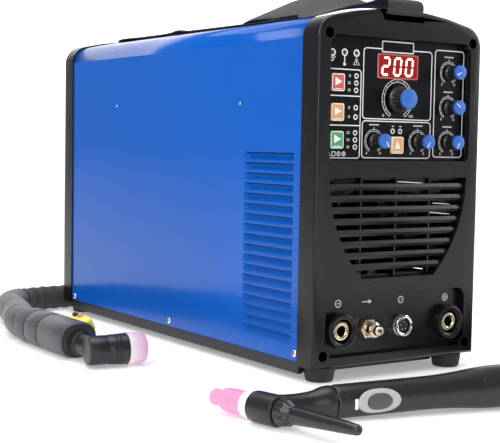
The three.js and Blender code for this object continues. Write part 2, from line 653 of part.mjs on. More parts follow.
function fanFrame() {
  const y0 = FAN_BACK - FAN_DEPTH;
  const half = FAN_SIZE / 2;
  const frame = cut(
    prismY(roundedRectangle(-half, half, -half, half, 6), y0, FAN_BACK, 4),
    rodY(FAN_BORE, y0 - 1, FAN_BACK + 1, 0, 0, 16));
  const struts = [45, 135].map((angle) =>
    box(-half - 8, half + 8, FAN_BACK - 3, FAN_BACK, -3, 3).rotateY(THREE.MathUtils.degToRad(angle)));
  const plate = solid(prismY(roundedRectangle(-half, half, -half, half, 6), y0, FAN_BACK, 4));
  const legs = [-1, 1].map((side) => box(side * 50 - 5, side * 50 + 5, y0 + 5, FAN_BACK - 5,
    -FAN_Z - BEZEL_LIFT
    + PAN_WALL + GAP, -half + 1));
  const shape = join(frame, join(...struts).intersect(plate), rodY(18, FAN_BACK - 4, FAN_BACK, 0, 0, 20),
    ...legs);
  const mesh = piece("fan_frame", shape, "blackPlastic");
  mesh.position.set(0, 0, FAN_Z);
  return mesh;
}

function fanRotor() {
  const y1 = FAN_BACK - 4 - 1;
  const y0 = FAN_BACK - FAN_DEPTH + 2;
  const hub = rodY(FAN_HUB_RADIUS, y0, y1, 0, 0, 16);
  const blades = [];
  for (let i = 0; i < FAN_BLADES; i++) {
    const blade = box(-11, 11, -0.9, 0.9, FAN_HUB_RADIUS - 4, FAN_BLADE_RADIUS);
    blade.rotateZ(THREE.MathUtils.degToRad(35)).translate(0, (y0 + y1) / 2, 0);
    blades.push(blade.rotateY((i / FAN_BLADES) * 2 * Math.PI));
  }
  const mesh = piece("fan_rotor", join(hub, ...blades), "blackPlastic");
  mesh.position.set(0, 0, FAN_Z);
  return mesh;
}

const PAN_FLOOR = PAN_WALL - BEZEL_LIFT + GAP;
const SINK_BASE = 96;
const SINK_TOP = 140;

function heatsink() {
  const plate = box(-60, 60, -150, 130, SINK_BASE - 6, SINK_BASE);
  const fins = [];
  for (let i = 0; i < 13; i++) fins.push(box(-60 + i * 9.8, -57.6 + i * 9.8, -150, 130, SINK_BASE - 1,
    SINK_TOP));
  const legs = [[-55, -145], [55, -145], [-55, 125], [55, 125]].map(([x, y]) =>
    box(x - 5, x + 5, y - 5, y + 5, PAN_FLOOR, SINK_BASE - 3));
  return piece("heatsink", join(plate, ...fins, ...legs), "aluminium");
}

function powerBoard() {
  const z = SINK_TOP + GAP;
  const board = box(-70, 70, -155, 140, z, z + 2);
  const capacitors = [[-38, -100], [0, -100], [38, -100]].map(([x, y]) => rodZ(15, z + 1, z + 42, x, y, 20));
  const relays = [[-35, 30], [25, 60], [30, 10]].map(([x, y]) => box(x - 14, x + 14, y - 10, y + 10,
    z + 1, z + 22));
  return piece("power_board", join(board, ...capacitors, ...relays), "board");
}

function mainTransformer() {
  const z = PAN_FLOOR;
  const core = box(-42, 42, -60, -8, z, z + 72);
  const winding = prismX(roundedRectangle(-76, 8, z + 12, z + 60, 10), -28, 28, 4);
  return piece("main_transformer", join(core, winding), "copper");
}

function solenoidValve() {
  const y0 = PANEL_FACE + 14 + GAP;
  const body = box(GAS_X - 11, GAS_X + 11, y0, y0 + 24, SOCKET_Z - 11, SOCKET_Z + 11);
  const coil = rodZ(9, SOCKET_Z + 10, SOCKET_Z + 40, GAS_X, y0 + 12, 18);
  return piece("solenoid_valve", join(body, coil), "brass");
}

// ---------- carry strap ----------
const ROOF = BODY_HEIGHT + GAP; // over the crown

// The strap's outline from the side: through the front window, over the bar, slack over the roof, and
// back down.
function carryStrap() {
  const t = STRAP_THICKNESS;
  const slot = STRAP_SLOT_TOP - GAP;
  const front = FRONT - GAP;
  const back = BACK + GAP;
  const hump = [[-215, ROOF], [-178, ROOF + 6], [-130, ROOF + 12.5], [-85, ROOF + 17.5], [-56, ROOF + 19]];
  const outer = new THREE.Shape();
  outer.moveTo(FRONT + BEZEL_DEPTH - 4, slot - t);
  outer.lineTo(front - t, slot - t);
  outer.lineTo(front - t, ROOF + t - 1);
  outer.lineTo(front - t + 2, ROOF + t);
  outer.splineThru(hump.map(([y, z]) => new THREE.Vector2(y, z + t)));
  outer.lineTo(-42, ROOF + 20);
  outer.lineTo(-12, ROOF + 8);
  outer.lineTo(-12, ROOF + t);
  outer.lineTo(back + t - 2, ROOF + t);
  outer.lineTo(back + t, ROOF + t - 2);
  outer.lineTo(back + t, slot - t);
  outer.lineTo(BACK - BEZEL_DEPTH + 4, slot - t);
  outer.lineTo(BACK - BEZEL_DEPTH + 4, slot);
  outer.lineTo(back, slot);
  outer.lineTo(back, ROOF);
  outer.lineTo(front, ROOF);
  outer.lineTo(front, slot);
  outer.lineTo(FRONT + BEZEL_DEPTH - 4, slot);
  outer.closePath();
  return piece("carry_strap", prismX(outer, -STRAP_WIDTH / 2, STRAP_WIDTH / 2, 3), "webbing");
}

// ---------- TIG torch ----------
// Drawn with the handle's axis along +X, the nozzle's side on +Y, and the head's axis through the origin.
function tigParts() {
  const headTurn = THREE.MathUtils.degToRad(TIG_HEAD_ANGLE);
  // A turned piece on the head's axis: distances grow towards the nozzle.
  const onHead = (profile, segments) => turned(profile, segments).rotateZ(headTurn - Math.PI / 2);
  const onHandle = (profile, segments) => turned(profile, segments).rotateZ(-Math.PI / 2);
  const handleBack = TIG_NECK + TIG_HANDLE_LENGTH;
  const headRadius = TIG_HEAD_RADIUS;
  const nozzle = onHead([
    [0, 30], [5, 30], [5, 57], [6.2, 57], [6.6, 55], [6.6, 48], [8.6, 44], [9.4, 38], [9.4, 20.6 + GAP],
    [0, 20.6 + GAP],
  ].reverse(), 18);
  const insulator = onHead([[0, 12 + GAP], [10.4, 12 + GAP], [10.4, 20.6], [0, 20.6]], 16);
  const head = join(
    onHead([[0, -15], [headRadius - 1.5, -15], [headRadius, -13], [headRadius, 10], [headRadius - 1, 12],
      [0, 12]], 16),
    onHandle([
      [0, 0], [10, 0], [9.6, 20], [9.8, 38], [12.6, 46], [12.8, TIG_NECK - GAP], [0, TIG_NECK - GAP],
    ], 16));
  const cap = onHead([
    [0, -92], [2.6, -92], [3.8, -90.5], [4.6, -80], [6.8, -30], [7.4, -27], [10, -24], [10.2, -15 - GAP],
    [0, -15 - GAP],
  ], 16);
  const grip = onHandle([
    [0, TIG_NECK], [TIG_HANDLE_RADIUS - 0.6, TIG_NECK], [TIG_HANDLE_RADIUS, TIG_NECK + 3],
    [TIG_HANDLE_RADIUS, TIG_NECK + 60], [TIG_HANDLE_RADIUS + 0.4, TIG_NECK + 95],
    [TIG_HUMP_RADIUS - 1, TIG_NECK + 125], [TIG_HUMP_RADIUS, TIG_NECK + 142], [TIG_HUMP_RADIUS - 0.8,
    TIG_NECK + 160],
    [TIG_HANDLE_RADIUS - 1, handleBack - 12], [TIG_HANDLE_RADIUS - 2, handleBack], [0, handleBack],
  ], 16);
  const bezelFace = -TIG_HANDLE_RADIUS - 0.9;
  const floorOfWell = -TIG_HANDLE_RADIUS + 5;
  const onSwitch = (rx, rz, y0, y1, segments) => rodY(1, y0, y1, 0, 0, segments).scale(rx, 1, rz)
    .translate(TIG_NECK + 34, 0, 0);
  const well = onSwitch(18, 9.4, bezelFace - 2, floorOfWell, 16);
  const bezel = cut(onSwitch(18 - GAP, 9.1, bezelFace, floorOfWell - GAP, 16), onSwitch(10, 6.4,
    bezelFace - 1,
    floorOfWell - GAP - 1.2, 16));
  const button = onSwitch(9.6, 6, bezelFace - 1.2, floorOfWell - GAP - 1.2 - 1.8, 16);
  const relief = onHandle([
    [0, handleBack + GAP], [10, handleBack + GAP], [10, handleBack + 6], [7.4, handleBack + 42], [0,
    handleBack + 42],
  ], 16);
  return [
    piece("tig_nozzle", nozzle, "ceramic"),
    piece("tig_insulator", insulator, "whiteRing"),
    piece("tig_head", head, "torchBlack"),
    piece("tig_back_cap", cap, "torchBlack"),
    piece("tig_handle", cut(grip, well), "torchBlack"),
    piece("tig_switch_bezel", bezel, "paleGrey"),
    piece("tig_switch_button", button, "torchBlack"),
    piece("tig_strain_relief", relief, "rubber"),
  ];
}

const TIG_TILT = THREE.MathUtils.radToDeg(Math.asin((TIG_HUMP_RADIUS - TIG_HEAD_RADIUS) / (TIG_NECK + 142)));

function tigTorch() {
  const torch = new THREE.Group();
  torch.add(...tigParts());
  torch.rotation.set(0, THREE.MathUtils.degToRad(-TIG_TILT), THREE.MathUtils.degToRad(TIG_ANGLE), "ZYX");
  torch.position.set(...TIG_HEAD, FLOOR + TIG_HEAD_RADIUS + 0.05);
  return torch;
}

// A neat round coil, as the ring that its turns fill.
function coil(name, [x, y], diameter) {
  const half = (COIL_COLUMNS * diameter) / 2;
  const height = COIL_LAYERS * diameter;
  const ring = turned([
    [COIL_RADIUS - half, 0], [COIL_RADIUS + half, 0], [COIL_RADIUS + half, height], [COIL_RADIUS - half,
    height],
    [COIL_RADIUS - half, 0],
  ], 24).rotateX(Math.PI / 2);
  return piece(name, ring.translate(x, y, FLOOR), "cable");
}

// Radius over the outermost turn.
const COIL_OUTER = COIL_RADIUS + COIL_COLUMNS / 2 * TIG_CABLE_DIAMETER;
const TIG_COIL = [172, -346];
const PLASMA_COIL = [112, 384];
// The free stretch, from the strain relief down to the coil.
const TIG_CABLE_ROUTE = [[87.4, -413.9, 13.6], [94, -415.3, 12.5], [101, -416.8, 10.7], [107, -418, 9]];

// A connector on the cable's far end, with its axis along +Y and its boot at y = 0.
function farConnector(name, profile, [x, y], radius, finish) {
  const start = y + Math.sqrt((COIL_OUTER + 8) ** 2 - (COIL_OUTER - TIG_CABLE_DIAMETER / 2) ** 2);
  const mesh = piece(name, turned(profile, 14), finish);
  mesh.position.set(x + COIL_OUTER - TIG_CABLE_DIAMETER / 2, start, FLOOR + radius);
  return mesh;
}

function tigCord() {
  const plug = [
    [0, 0], [7, 0], [9, 20], [11, 32], [15.5, 35], [15.5, 72], [13, 75], [6.5, 75], [6.5, 98], [5.5, 99],
    [0, 99],
  ];
  return [
    piece("tig_cable", sweptRound(smooth(TIG_CABLE_ROUTE), TIG_CABLE_DIAMETER, 4), "cable"),
    coil("tig_coil", TIG_COIL, TIG_CABLE_DIAMETER),
    farConnector("tig_plug", plug, TIG_COIL, 15.5, "rubber"),
  ];
}

// ---------- plasma torch ----------
// Drawn from the centre of the handle's front face, with the handle along +Y and the head's axis along +X.
const PLASMA_FACE = [-216.6, -48];
const PLASMA_HEAD_TURN = -8;
const PLASMA_HEAD_REACH = 44;
const PLASMA_WIDE = 1.12; // handle's width over its height
const PLASMA_TRIGGER_TURN = 30; // round the handle, up from +X
const PLASMA_LIFT = FLOOR + PLASMA_RADIUS + 0.1;

function plasmaTorch() {
  const drop = PLASMA_LIFT - (FLOOR + 15.7);
  const headTurn = THREE.MathUtils.degToRad(PLASMA_HEAD_TURN);
  const onHead = (profile) => turned(profile, 18).rotateZ(headTurn - Math.PI / 2)
    .translate(0, -PLASMA_HEAD_REACH, -drop);
  const r = PLASMA_HEAD_RADIUS;
  const head = join(
    onHead([[0, -13], [r - 1, -13], [r, -11.5], [r, 8], [r + 0.8, 14], [r + 1, 25], [0, 25]]),
    rodY(10.5, -PLASMA_HEAD_REACH, -GAP, 0, -drop, 16),
    rodY(12, -9, -5, 0, -drop, 16));
  const cup = onHead([[0, 25 + GAP], [15.6, 25 + GAP], [15.6, 30], [14.2, 43], [9, 43], [9, 39], [0, 39]]);
  const length = PLASMA_HANDLE_LENGTH;
  const shell = turned([
    [0, 0], [15, 0], [PLASMA_RADIUS - 0.5, 4], [PLASMA_RADIUS, 12], [PLASMA_RADIUS, length - 20],
    [PLASMA_RADIUS - 0.5, length], [0, length],
  ], 28).scale(PLASMA_WIDE, 1, 1);
  const triggerTurn = -THREE.MathUtils.degToRad(PLASMA_TRIGGER_TURN);
  const slot = box(8, 26, 10, 66, -6.4, 6.4).rotateY(triggerTurn);
  const trigger = new THREE.ExtrudeGeometry(
    polygon([[13, 58], [17, 22], [20, 14], [25, 14], [28.5, 30], [20.5, 64], [13, 64]]),
    { depth: 12, bevelEnabled: false });
  const torch = new THREE.Group();
  torch.add(
    piece("plasma_head", head, "torchBlack"),
    piece("plasma_cup", cup, "ceramic"),
    piece("plasma_handle", cut(shell, slot), "torchGrey"),
    piece("plasma_trigger", trigger.translate(0, 0, -6).rotateY(triggerTurn), "yellow"));
  torch.position.set(...PLASMA_FACE, PLASMA_LIFT);
  return torch;
}

const HANDLE_END = [PLASMA_FACE[0], PLASMA_FACE[1] + PLASMA_HANDLE_LENGTH + GAP];
const PLASMA_ROUTE = [
  HANDLE_END, [-216.6, 80], [-214, 100], [-207.5, 120], [-199.5, 142], [-191, 170], [-185.5, 195],
    [-179, 218],
  [-170, 238], [-156, 254], [-138, 264], [-118, 269], [-98, 271.5], [-60, 274.5], [-20, 278], [20, 283],
  [52, 289],
];
// Each jointed piece behind the handle: its radius and where it ends along the route.
const SEGMENTS = [[16.8, 68], [15.8, 136], [14.8, 206]];

// A stretch of the route, lying on the floor.
function alongRoute(from, to, radius, steps, sides) {
  const path = new Stretch(smooth(PLASMA_ROUTE), from, to);
  return sweptRound(path, 2 * radius, steps, sides).translate(0, 0, FLOOR + radius + 0.1);
}

function plasmaCord() {
  const routeLength = smooth(PLASMA_ROUTE).getLength();
  const sleeveStart = SEGMENTS.at(-1)[1] + GAP;
  const nut = [
    [0, 0], [7, 0], [8.5, 18], [10, 26], [13, 28], [13, 52], [11, 54], [7, 54], [7, 74], [0, 74],
  ];
  return [
    ...SEGMENTS.map(([radius, end], i) => {
      const start = i === 0 ? 0 : SEGMENTS[i - 1][1] + GAP;
      return piece("plasma_segment_" + (i + 1), alongRoute(start, end, radius, 4 + 2 * i, 12), "torchGrey");
    }),
    piece("plasma_sleeve", alongRoute(sleeveStart, routeLength, SLEEVE_DIAMETER / 2, 6, 10), "webbing"),
    coil("plasma_coil", PLASMA_COIL, PLASMA_CABLE_DIAMETER),
    farConnector("plasma_connector", nut, PLASMA_COIL, 13, "blackPlastic"),
  ];
}

// ---------- assembly ----------
function housing() {
  const group = new THREE.Group();
  group.add(
    frontBezel(), rearBezel(), cover(), controlPanel(), displayWindow(), frontGrille(), connectorPlate(),
    ...weldingSocket("negative", -SOCKET_X), ...weldingSocket("positive", SOCKET_X),
    gasOutlet(), controlSocket(), powerSwitch(), cableGland(), gasInlet(), carryStrap(),
    controlBoard(), powerBoard(), heatsink(), mainTransformer(), solenoidValve(), fanFrame(), fanRotor(),
    knob("current_knob", CURRENT_KNOB, BIG_KNOB_RADIUS, BIG_CAP_RADIUS),
    ...Object.entries(KNOBS).map(([name, place]) => knob(name, place, SMALL_KNOB_RADIUS,
      SMALL_KNOB_RADIUS - 0.4)),
    ...Object.entries(BUTTONS).map(([name, place]) => panelButton(name, place)));
  group.position.z = BEZEL_LIFT;
  return group;
}

const welder = new THREE.Group();
welder.add(
  housing(), basePan(), ...Object.entries(footPlaces()).map(([name, place]) => foot(name, place)),
  tigTorch(), ...tigCord(), plasmaTorch(), ...plasmaCord());

export default welder;
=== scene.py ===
"""The looks of an inverter welding machine with a TIG torch and a plasma torch.

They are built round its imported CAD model.

Lengths are written in millimetres and turned into metres when a mesh is made.
+X is to the right seen from the front, +Y runs to the back, +Z is up, and z = 0 is the base pan's underside.
"""
from math import atan2, cos, pi, radians, sin, sqrt, tau

import bmesh
import bpy
from mathutils import Matrix, Vector


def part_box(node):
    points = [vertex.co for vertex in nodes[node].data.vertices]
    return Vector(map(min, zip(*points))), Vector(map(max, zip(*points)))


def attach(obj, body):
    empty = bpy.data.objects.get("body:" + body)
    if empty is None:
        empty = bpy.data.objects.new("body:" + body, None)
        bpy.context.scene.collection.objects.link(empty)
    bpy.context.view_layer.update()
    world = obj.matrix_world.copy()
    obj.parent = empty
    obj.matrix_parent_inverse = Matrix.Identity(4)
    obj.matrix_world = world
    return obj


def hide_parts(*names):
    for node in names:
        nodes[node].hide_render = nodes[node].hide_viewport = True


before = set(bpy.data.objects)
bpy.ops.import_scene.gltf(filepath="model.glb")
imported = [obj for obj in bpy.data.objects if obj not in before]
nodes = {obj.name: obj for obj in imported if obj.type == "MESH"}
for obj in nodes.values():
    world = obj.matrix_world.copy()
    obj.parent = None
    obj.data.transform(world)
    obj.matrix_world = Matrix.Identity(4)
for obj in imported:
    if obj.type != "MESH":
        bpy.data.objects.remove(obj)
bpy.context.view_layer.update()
scene = bpy.context.scene

LIFT = 7.5          # bezel's bottom edge above the pan's underside
FLOOR = -6
FRONT, BACK = -255, 255
PANEL = -248        # front face of the control panel and of the connector plate
COVER_FRONT, COVER_BACK = -231.7, 231.7
CORNER_Z = sqrt(296 ** 2 - 75 ** 2) - 0.5  # height of the roof corners' centres above the bezel's bottom edge


# ---------------------------------------------------------------- camera
def set_camera():
    azimuth, elevation, roll = radians(-33.5826), radians(3.8387), radians(1.0129)
    back = Vector((sin(azimuth) * cos(elevation), -cos(azimuth) * cos(elevation), sin(elevation)))
    right = Vector((0, 0, 1)).cross(back).normalized()
    up = back.cross(right)
    right, up = right * cos(roll) + up * sin(roll), up * cos(roll) - right * sin(roll)
    data = bpy.data.cameras.new("camera")
    data.lens, data.sensor_width = 85.03, 36
    camera = bpy.data.objects.new("camera", data)
    turn = Matrix((right, up, back)).transposed().to_4x4()
    camera.matrix_world = Matrix.Translation((-0.6984, -1.0634, 0.2028)) @ turn
    scene.collection.objects.link(camera)
    scene.camera = camera


set_camera()


# ---------------------------------------------------------------- materials
def shader(name):
    made = bpy.data.materials.new(name)
    made.use_nodes = True
    return made, made.node_tree, made.node_tree.nodes["Principled BSDF"]


def node(tree, kind, **values):
    made = tree.nodes.new("ShaderNode" + kind)
    for key, value in values.items():
        if key in made.inputs:
            made.inputs[key].default_value = value
        else:
            setattr(made, key, value)
    return made


def ramp(tree, source, low, high, at=(0.3, 0.7)):
    made = node(tree, "ValToRGB")
    for stop, place, colour in zip(made.color_ramp.elements, at, (low, high)):
        stop.position, stop.color = place, (*colour, 1)
    tree.links.new(source, made.inputs["Fac"])
    return made.outputs["Color"]


def spread(tree, source, low, high):
    made = node(tree, "MapRange")
    made.inputs["To Min"].default_value, made.inputs["To Max"].default_value = low, high
    tree.links.new(source, made.inputs["Value"])
    return made.outputs["Result"]


def place_of(tree, stretch=(1, 1, 1)):
    where = node(tree, "TexCoord").outputs["Object"]
    if stretch == (1, 1, 1):
        return where
    mapping = node(tree, "Mapping", Scale=stretch)
    tree.links.new(where, mapping.inputs["Vector"])
    return mapping.outputs["Vector"]


def noise(tree, where, scale, detail=4):
    made = node(tree, "TexNoise", Scale=scale, Detail=detail)
    tree.links.new(where, made.inputs["Vector"])
    return made.outputs["Fac"]


def bump(tree, bsdf, height, strength, distance=0.0002):
    made = node(tree, "Bump", Strength=strength, Distance=distance)
    tree.links.new(height, made.inputs["Height"])
    tree.links.new(made.outputs["Normal"], bsdf.inputs["Normal"])


def finish(name, colour, rough, metal=0.0, tint=0.12, rough_range=0.06, cloud=45, grain=900, relief=0.15,
           stretch=(1, 1, 1), **values):
    """A finish whose colour and gloss drift slowly over the piece, with a fine grain in its surface."""
    made, tree, bsdf = shader(name)
    bsdf.inputs["Metallic"].default_value = metal
    for key, value in values.items():
        bsdf.inputs[key.replace("_", " ")].default_value = value
    where = place_of(tree, stretch)
    drift = noise(tree, where, cloud)
    dark, pale = [tuple(min(1, c * k) for c in colour) for k in (1 - tint, 1 + tint)]
    tree.links.new(ramp(tree, drift, dark, pale), bsdf.inputs["Base Color"])
    fine = noise(tree, where, grain, 2)
    both = node(tree, "Math", operation="ADD")
    tree.links.new(drift, both.inputs[0])
    tree.links.new(fine, both.inputs[1])
    half = node(tree, "Math", operation="MULTIPLY")
    half.inputs[1].default_value = 0.5
    tree.links.new(both.outputs[0], half.inputs[0])
    tree.links.new(spread(tree, half.outputs[0], rough - rough_range, rough + rough_range),
        bsdf.inputs["Roughness"])
    if relief:
        bump(tree, bsdf, fine, relief)
    return made


def woven(name, dark, pale, rough, threads, relief=0.6, axes=(0, 1), **values):
    """A plain weave: two sets of threads that cross, at so many threads to the metre."""
    made, tree, bsdf = shader(name)
    for key, value in values.items():
        bsdf.inputs[key.replace("_", " ")].default_value = value
    bsdf.inputs["Roughness"].default_value = rough
    where = place_of(tree)
    waves = []
    for axis in axes:
        wave = node(tree, "TexWave", wave_type="BANDS", bands_direction="XYZ"[axis],
            Scale=threads * tau / 20, Distortion=0.25)
        wave.inputs["Detail Scale"].default_value = 3
        tree.links.new(where, wave.inputs["Vector"])
        waves.append(wave.outputs["Fac"])
    cross = node(tree, "Math", operation="MULTIPLY")
    tree.links.new(waves[0], cross.inputs[0])
    tree.links.new(waves[1], cross.inputs[1])
    fuzz = noise(tree, where, 1400, 3)
    total = node(tree, "Math", operation="ADD")
    tree.links.new(cross.outputs[0], total.inputs[0])
    tree.links.new(fuzz, total.inputs[1])
    tree.links.new(ramp(tree, total.outputs[0], dark, pale, (0.3, 1.0)), bsdf.inputs["Base Color"])
    bump(tree, bsdf, total.outputs[0], relief, 0.0005)
    return made


def lamp(name, colour, strength):
    made, tree, bsdf = shader(name)
    flicker = noise(tree, place_of(tree), 300)
    pale = tuple(min(1, c * 1.05) for c in colour)
    glow = ramp(tree, flicker, colour, pale)
    tree.links.new(glow, bsdf.inputs["Base Color"])
    tree.links.new(glow, bsdf.inputs["Emission Color"])
    bsdf.inputs["Emission Strength"].default_value = strength
    bsdf.inputs["Roughness"].default_value = 0.35
    return made


def circuit_board(name):
    made, tree, bsdf = shader(name)
    where = place_of(tree)
    tracks = node(tree, "TexVoronoi", feature="DISTANCE_TO_EDGE", distance="MANHATTAN", Scale=150)
    tree.links.new(where, tracks.inputs["Vector"])
    mask = ramp(tree, tracks.outputs["Distance"], (0.03, 0.2, 0.08), (0.012, 0.09, 0.035), (0.04, 0.07))
    tree.links.new(mask, bsdf.inputs["Base Color"])
    tree.links.new(spread(tree, noise(tree, where, 90), 0.3, 0.5), bsdf.inputs["Roughness"])
    bump(tree, bsdf, tracks.outputs["Distance"], 0.3)
    return made


BLACK_PLASTIC = finish("black_plastic", (0.0045, 0.0046, 0.0068), 0.27, relief=0.06, grain=1500, tint=0.1,
                       Specular_IOR_Level=0.4)
SLAT_PLASTIC = finish("slat_plastic", (0.005, 0.0052, 0.007), 0.26, relief=0.05, grain=1300,
    Specular_IOR_Level=0.4)
# Black paint of the base pan; on the cover's inner faces the same near-black is painted shade.
BLACK_PAINT_AND_INNER_SHADE = finish("black_paint", (0.012, 0.012, 0.0145), 0.42, grain=1100, relief=0.2)
BLUE_PAINT = finish("blue_paint", (0.0008, 0.096, 0.47), 0.17, tint=0.03, rough_range=0.02, cloud=14,
    grain=420, relief=0.012, Coat_Weight=0.15, Coat_Roughness=0.05, Specular_IOR_Level=0.22)
RUBBER = finish("rubber", (0.011, 0.011, 0.012), 0.62, relief=0.3)
PANEL_FILM = finish("panel_film", (0.0016, 0.0016, 0.0032), 0.3, tint=0.2, relief=0.02,
    Specular_IOR_Level=0.2)
INK = finish("white_ink", (0.82, 0.83, 0.85), 0.45, tint=0.04, relief=0.05)
RED_WINDOW = finish("red_window", (0.24, 0.002, 0.005), 0.2, tint=0.1, relief=0,
                    Emission_Color=(0.5, 0.0, 0.004, 1), Emission_Strength=0.18)
RED_TRIM = finish("display_frame", (0.5, 0.13, 0.14), 0.35, tint=0.08, relief=0.03)
BRASS = finish("brass", (0.62, 0.4, 0.13), 0.24, metal=1, rough_range=0.08, cloud=120, relief=0.08)
PALE_BRASS = finish("plated_brass", (0.86, 0.74, 0.5), 0.2, metal=1, rough_range=0.08, cloud=120, relief=0.06)
NICKEL = finish("nickel", (0.76, 0.66, 0.5), 0.16, metal=1, rough_range=0.07, cloud=90, relief=0.05)
CHROME = finish("chrome", (0.82, 0.82, 0.84), 0.08, metal=1, tint=0.04, rough_range=0.03, relief=0.02)
STEEL = finish("screw_steel", (0.7, 0.71, 0.73), 0.2, metal=1, rough_range=0.08, cloud=200, relief=0.05)
ALUMINIUM = finish("aluminium", (0.55, 0.56, 0.58), 0.34, metal=1, stretch=(1, 0.05, 1), grain=1600,
    relief=0.15)
COPPER = finish("winding", (0.34, 0.13, 0.04), 0.35, metal=0.6, stretch=(1, 1, 12), grain=240, relief=0.5)
BOARD = circuit_board("circuit_board")
WEBBING = woven("webbing", (0.002, 0.002, 0.0025), (0.02, 0.02, 0.023), 0.6, 420, 0.9, (1, 2),
    Sheen_Weight=0.08)
SLEEVE = woven("sleeve", (0.004, 0.0036, 0.0036), (0.045, 0.04, 0.038), 0.82, 1500, 0.5, (0, 1),
    Sheen_Weight=0.2)
THREAD = finish("thread", (0.02, 0.02, 0.023), 0.7, grain=3000, relief=0.6, Sheen_Weight=0.3)
CERAMIC = finish("pink_ceramic", (0.74, 0.3, 0.52), 0.48, tint=0.05, grain=1800, relief=0.12,
                 Subsurface_Weight=0.12, Subsurface_Radius=(0.004, 0.002, 0.002))
WHITE_PLASTIC = finish("white_insulator", (0.86, 0.85, 0.86), 0.4, tint=0.03, relief=0.05)
TORCH_BLACK = finish("torch_black", (0.009, 0.009, 0.0105), 0.36, grain=1300, relief=0.25)
TORCH_GLOSS = finish("torch_gloss", (0.016, 0.016, 0.017), 0.26, grain=1300, relief=0.08)
TORCH_GREY = finish("torch_grey", (0.066, 0.067, 0.075), 0.46, grain=1300, relief=0.3)
# Near-black for seams, the trigger catch and the socket core; on the plasma grip's screw wells it is painted
# shade.
SEAM_BLACK_AND_HOLE_SHADE = finish("seam_black_and_hole_shade", (0.012, 0.012, 0.013), 0.6, relief=0.2)
PALE_GREY = finish("pale_grey", (0.42, 0.43, 0.43), 0.34, tint=0.04, relief=0.05)
YELLOW = finish("yellow_plastic", (0.82, 0.74, 0.02), 0.28, tint=0.06, relief=0.05, Coat_Weight=0.3,
                Subsurface_Weight=0.2, Subsurface_Radius=(0.004, 0.004, 0.001))
ORANGE = finish("orange_plastic", (0.72, 0.24, 0.16), 0.35, tint=0.06, relief=0.05)
CABLE = finish("cable_sheath", (0.0125, 0.0125, 0.0135), 0.46, grain=700, relief=0.2)
KNOB_BLACK = finish("knob_black", (0.008, 0.008, 0.0095), 0.28, relief=0.08)
KNOB_BLUE = finish("knob_blue", (0.022, 0.13, 0.5), 0.36, tint=0.05, relief=0.06)
KEY_COLOURS = {
    "process_button": ("red_key", (0.62, 0.1, 0.1)),
    "gas_button": ("orange_key", (0.74, 0.36, 0.13)),
    "trigger_mode_button": ("green_key", (0.06, 0.34, 0.13)),
    "output_button": ("amber_key", (0.78, 0.4, 0.16)),
}
KEYS = {button: finish(label, colour, 0.33, tint=0.05, relief=0.05, Coat_Weight=0.4)
    for button, (label, colour) in KEY_COLOURS.items()}
DIGITS = lamp("lit_digits", (1.0, 0.84, 0.62), 1.1)
LENS = finish("dark_lens", (0.03, 0.012, 0.012), 0.12, tint=0.2, relief=0, Coat_Weight=0.5)
# Near-black painted shade for screw recesses and small holes that are drawn as flat marks, not cut.
PAINTED_HOLE_SHADE = finish("painted_hole_shade", (0.003, 0.003, 0.003), 0.7, relief=0.1)

KEY_PALE = finish("key_print", (0.9, 0.86, 0.8), 0.4, tint=0.04, relief=0.04)
TORCH_DARK = finish("torch_dark_grey", (0.04, 0.04, 0.045), 0.5, grain=1300, relief=0.25)


def cup_glaze(name):
    """Ceramic that goes from white at the torch to pink at its mouth."""
    made, tree, bsdf = shader(name)
    where = place_of(tree)
    split = node(tree, "SeparateXYZ")
    tree.links.new(where, split.inputs[0])
    blend = node(tree, "MapRange")
    blend.inputs["From Min"].default_value, blend.inputs["From Max"].default_value = -0.192, -0.174
    tree.links.new(split.outputs["X"], blend.inputs["Value"])
    fine = noise(tree, where, 1500, 2)
    shade = ramp(tree, blend.outputs["Result"], (0.8, 0.7, 0.74), (0.72, 0.34, 0.5), (0.0, 1.0))
    tree.links.new(shade, bsdf.inputs["Base Color"])
    tree.links.new(spread(tree, fine, 0.36, 0.5), bsdf.inputs["Roughness"])
    bsdf.inputs["Subsurface Weight"].default_value = 0.12
    bsdf.inputs["Subsurface Radius"].default_value = (0.004, 0.002, 0.002)
    bump(tree, bsdf, fine, 0.1)
    return made


CUP = cup_glaze("plasma_cup_ceramic")


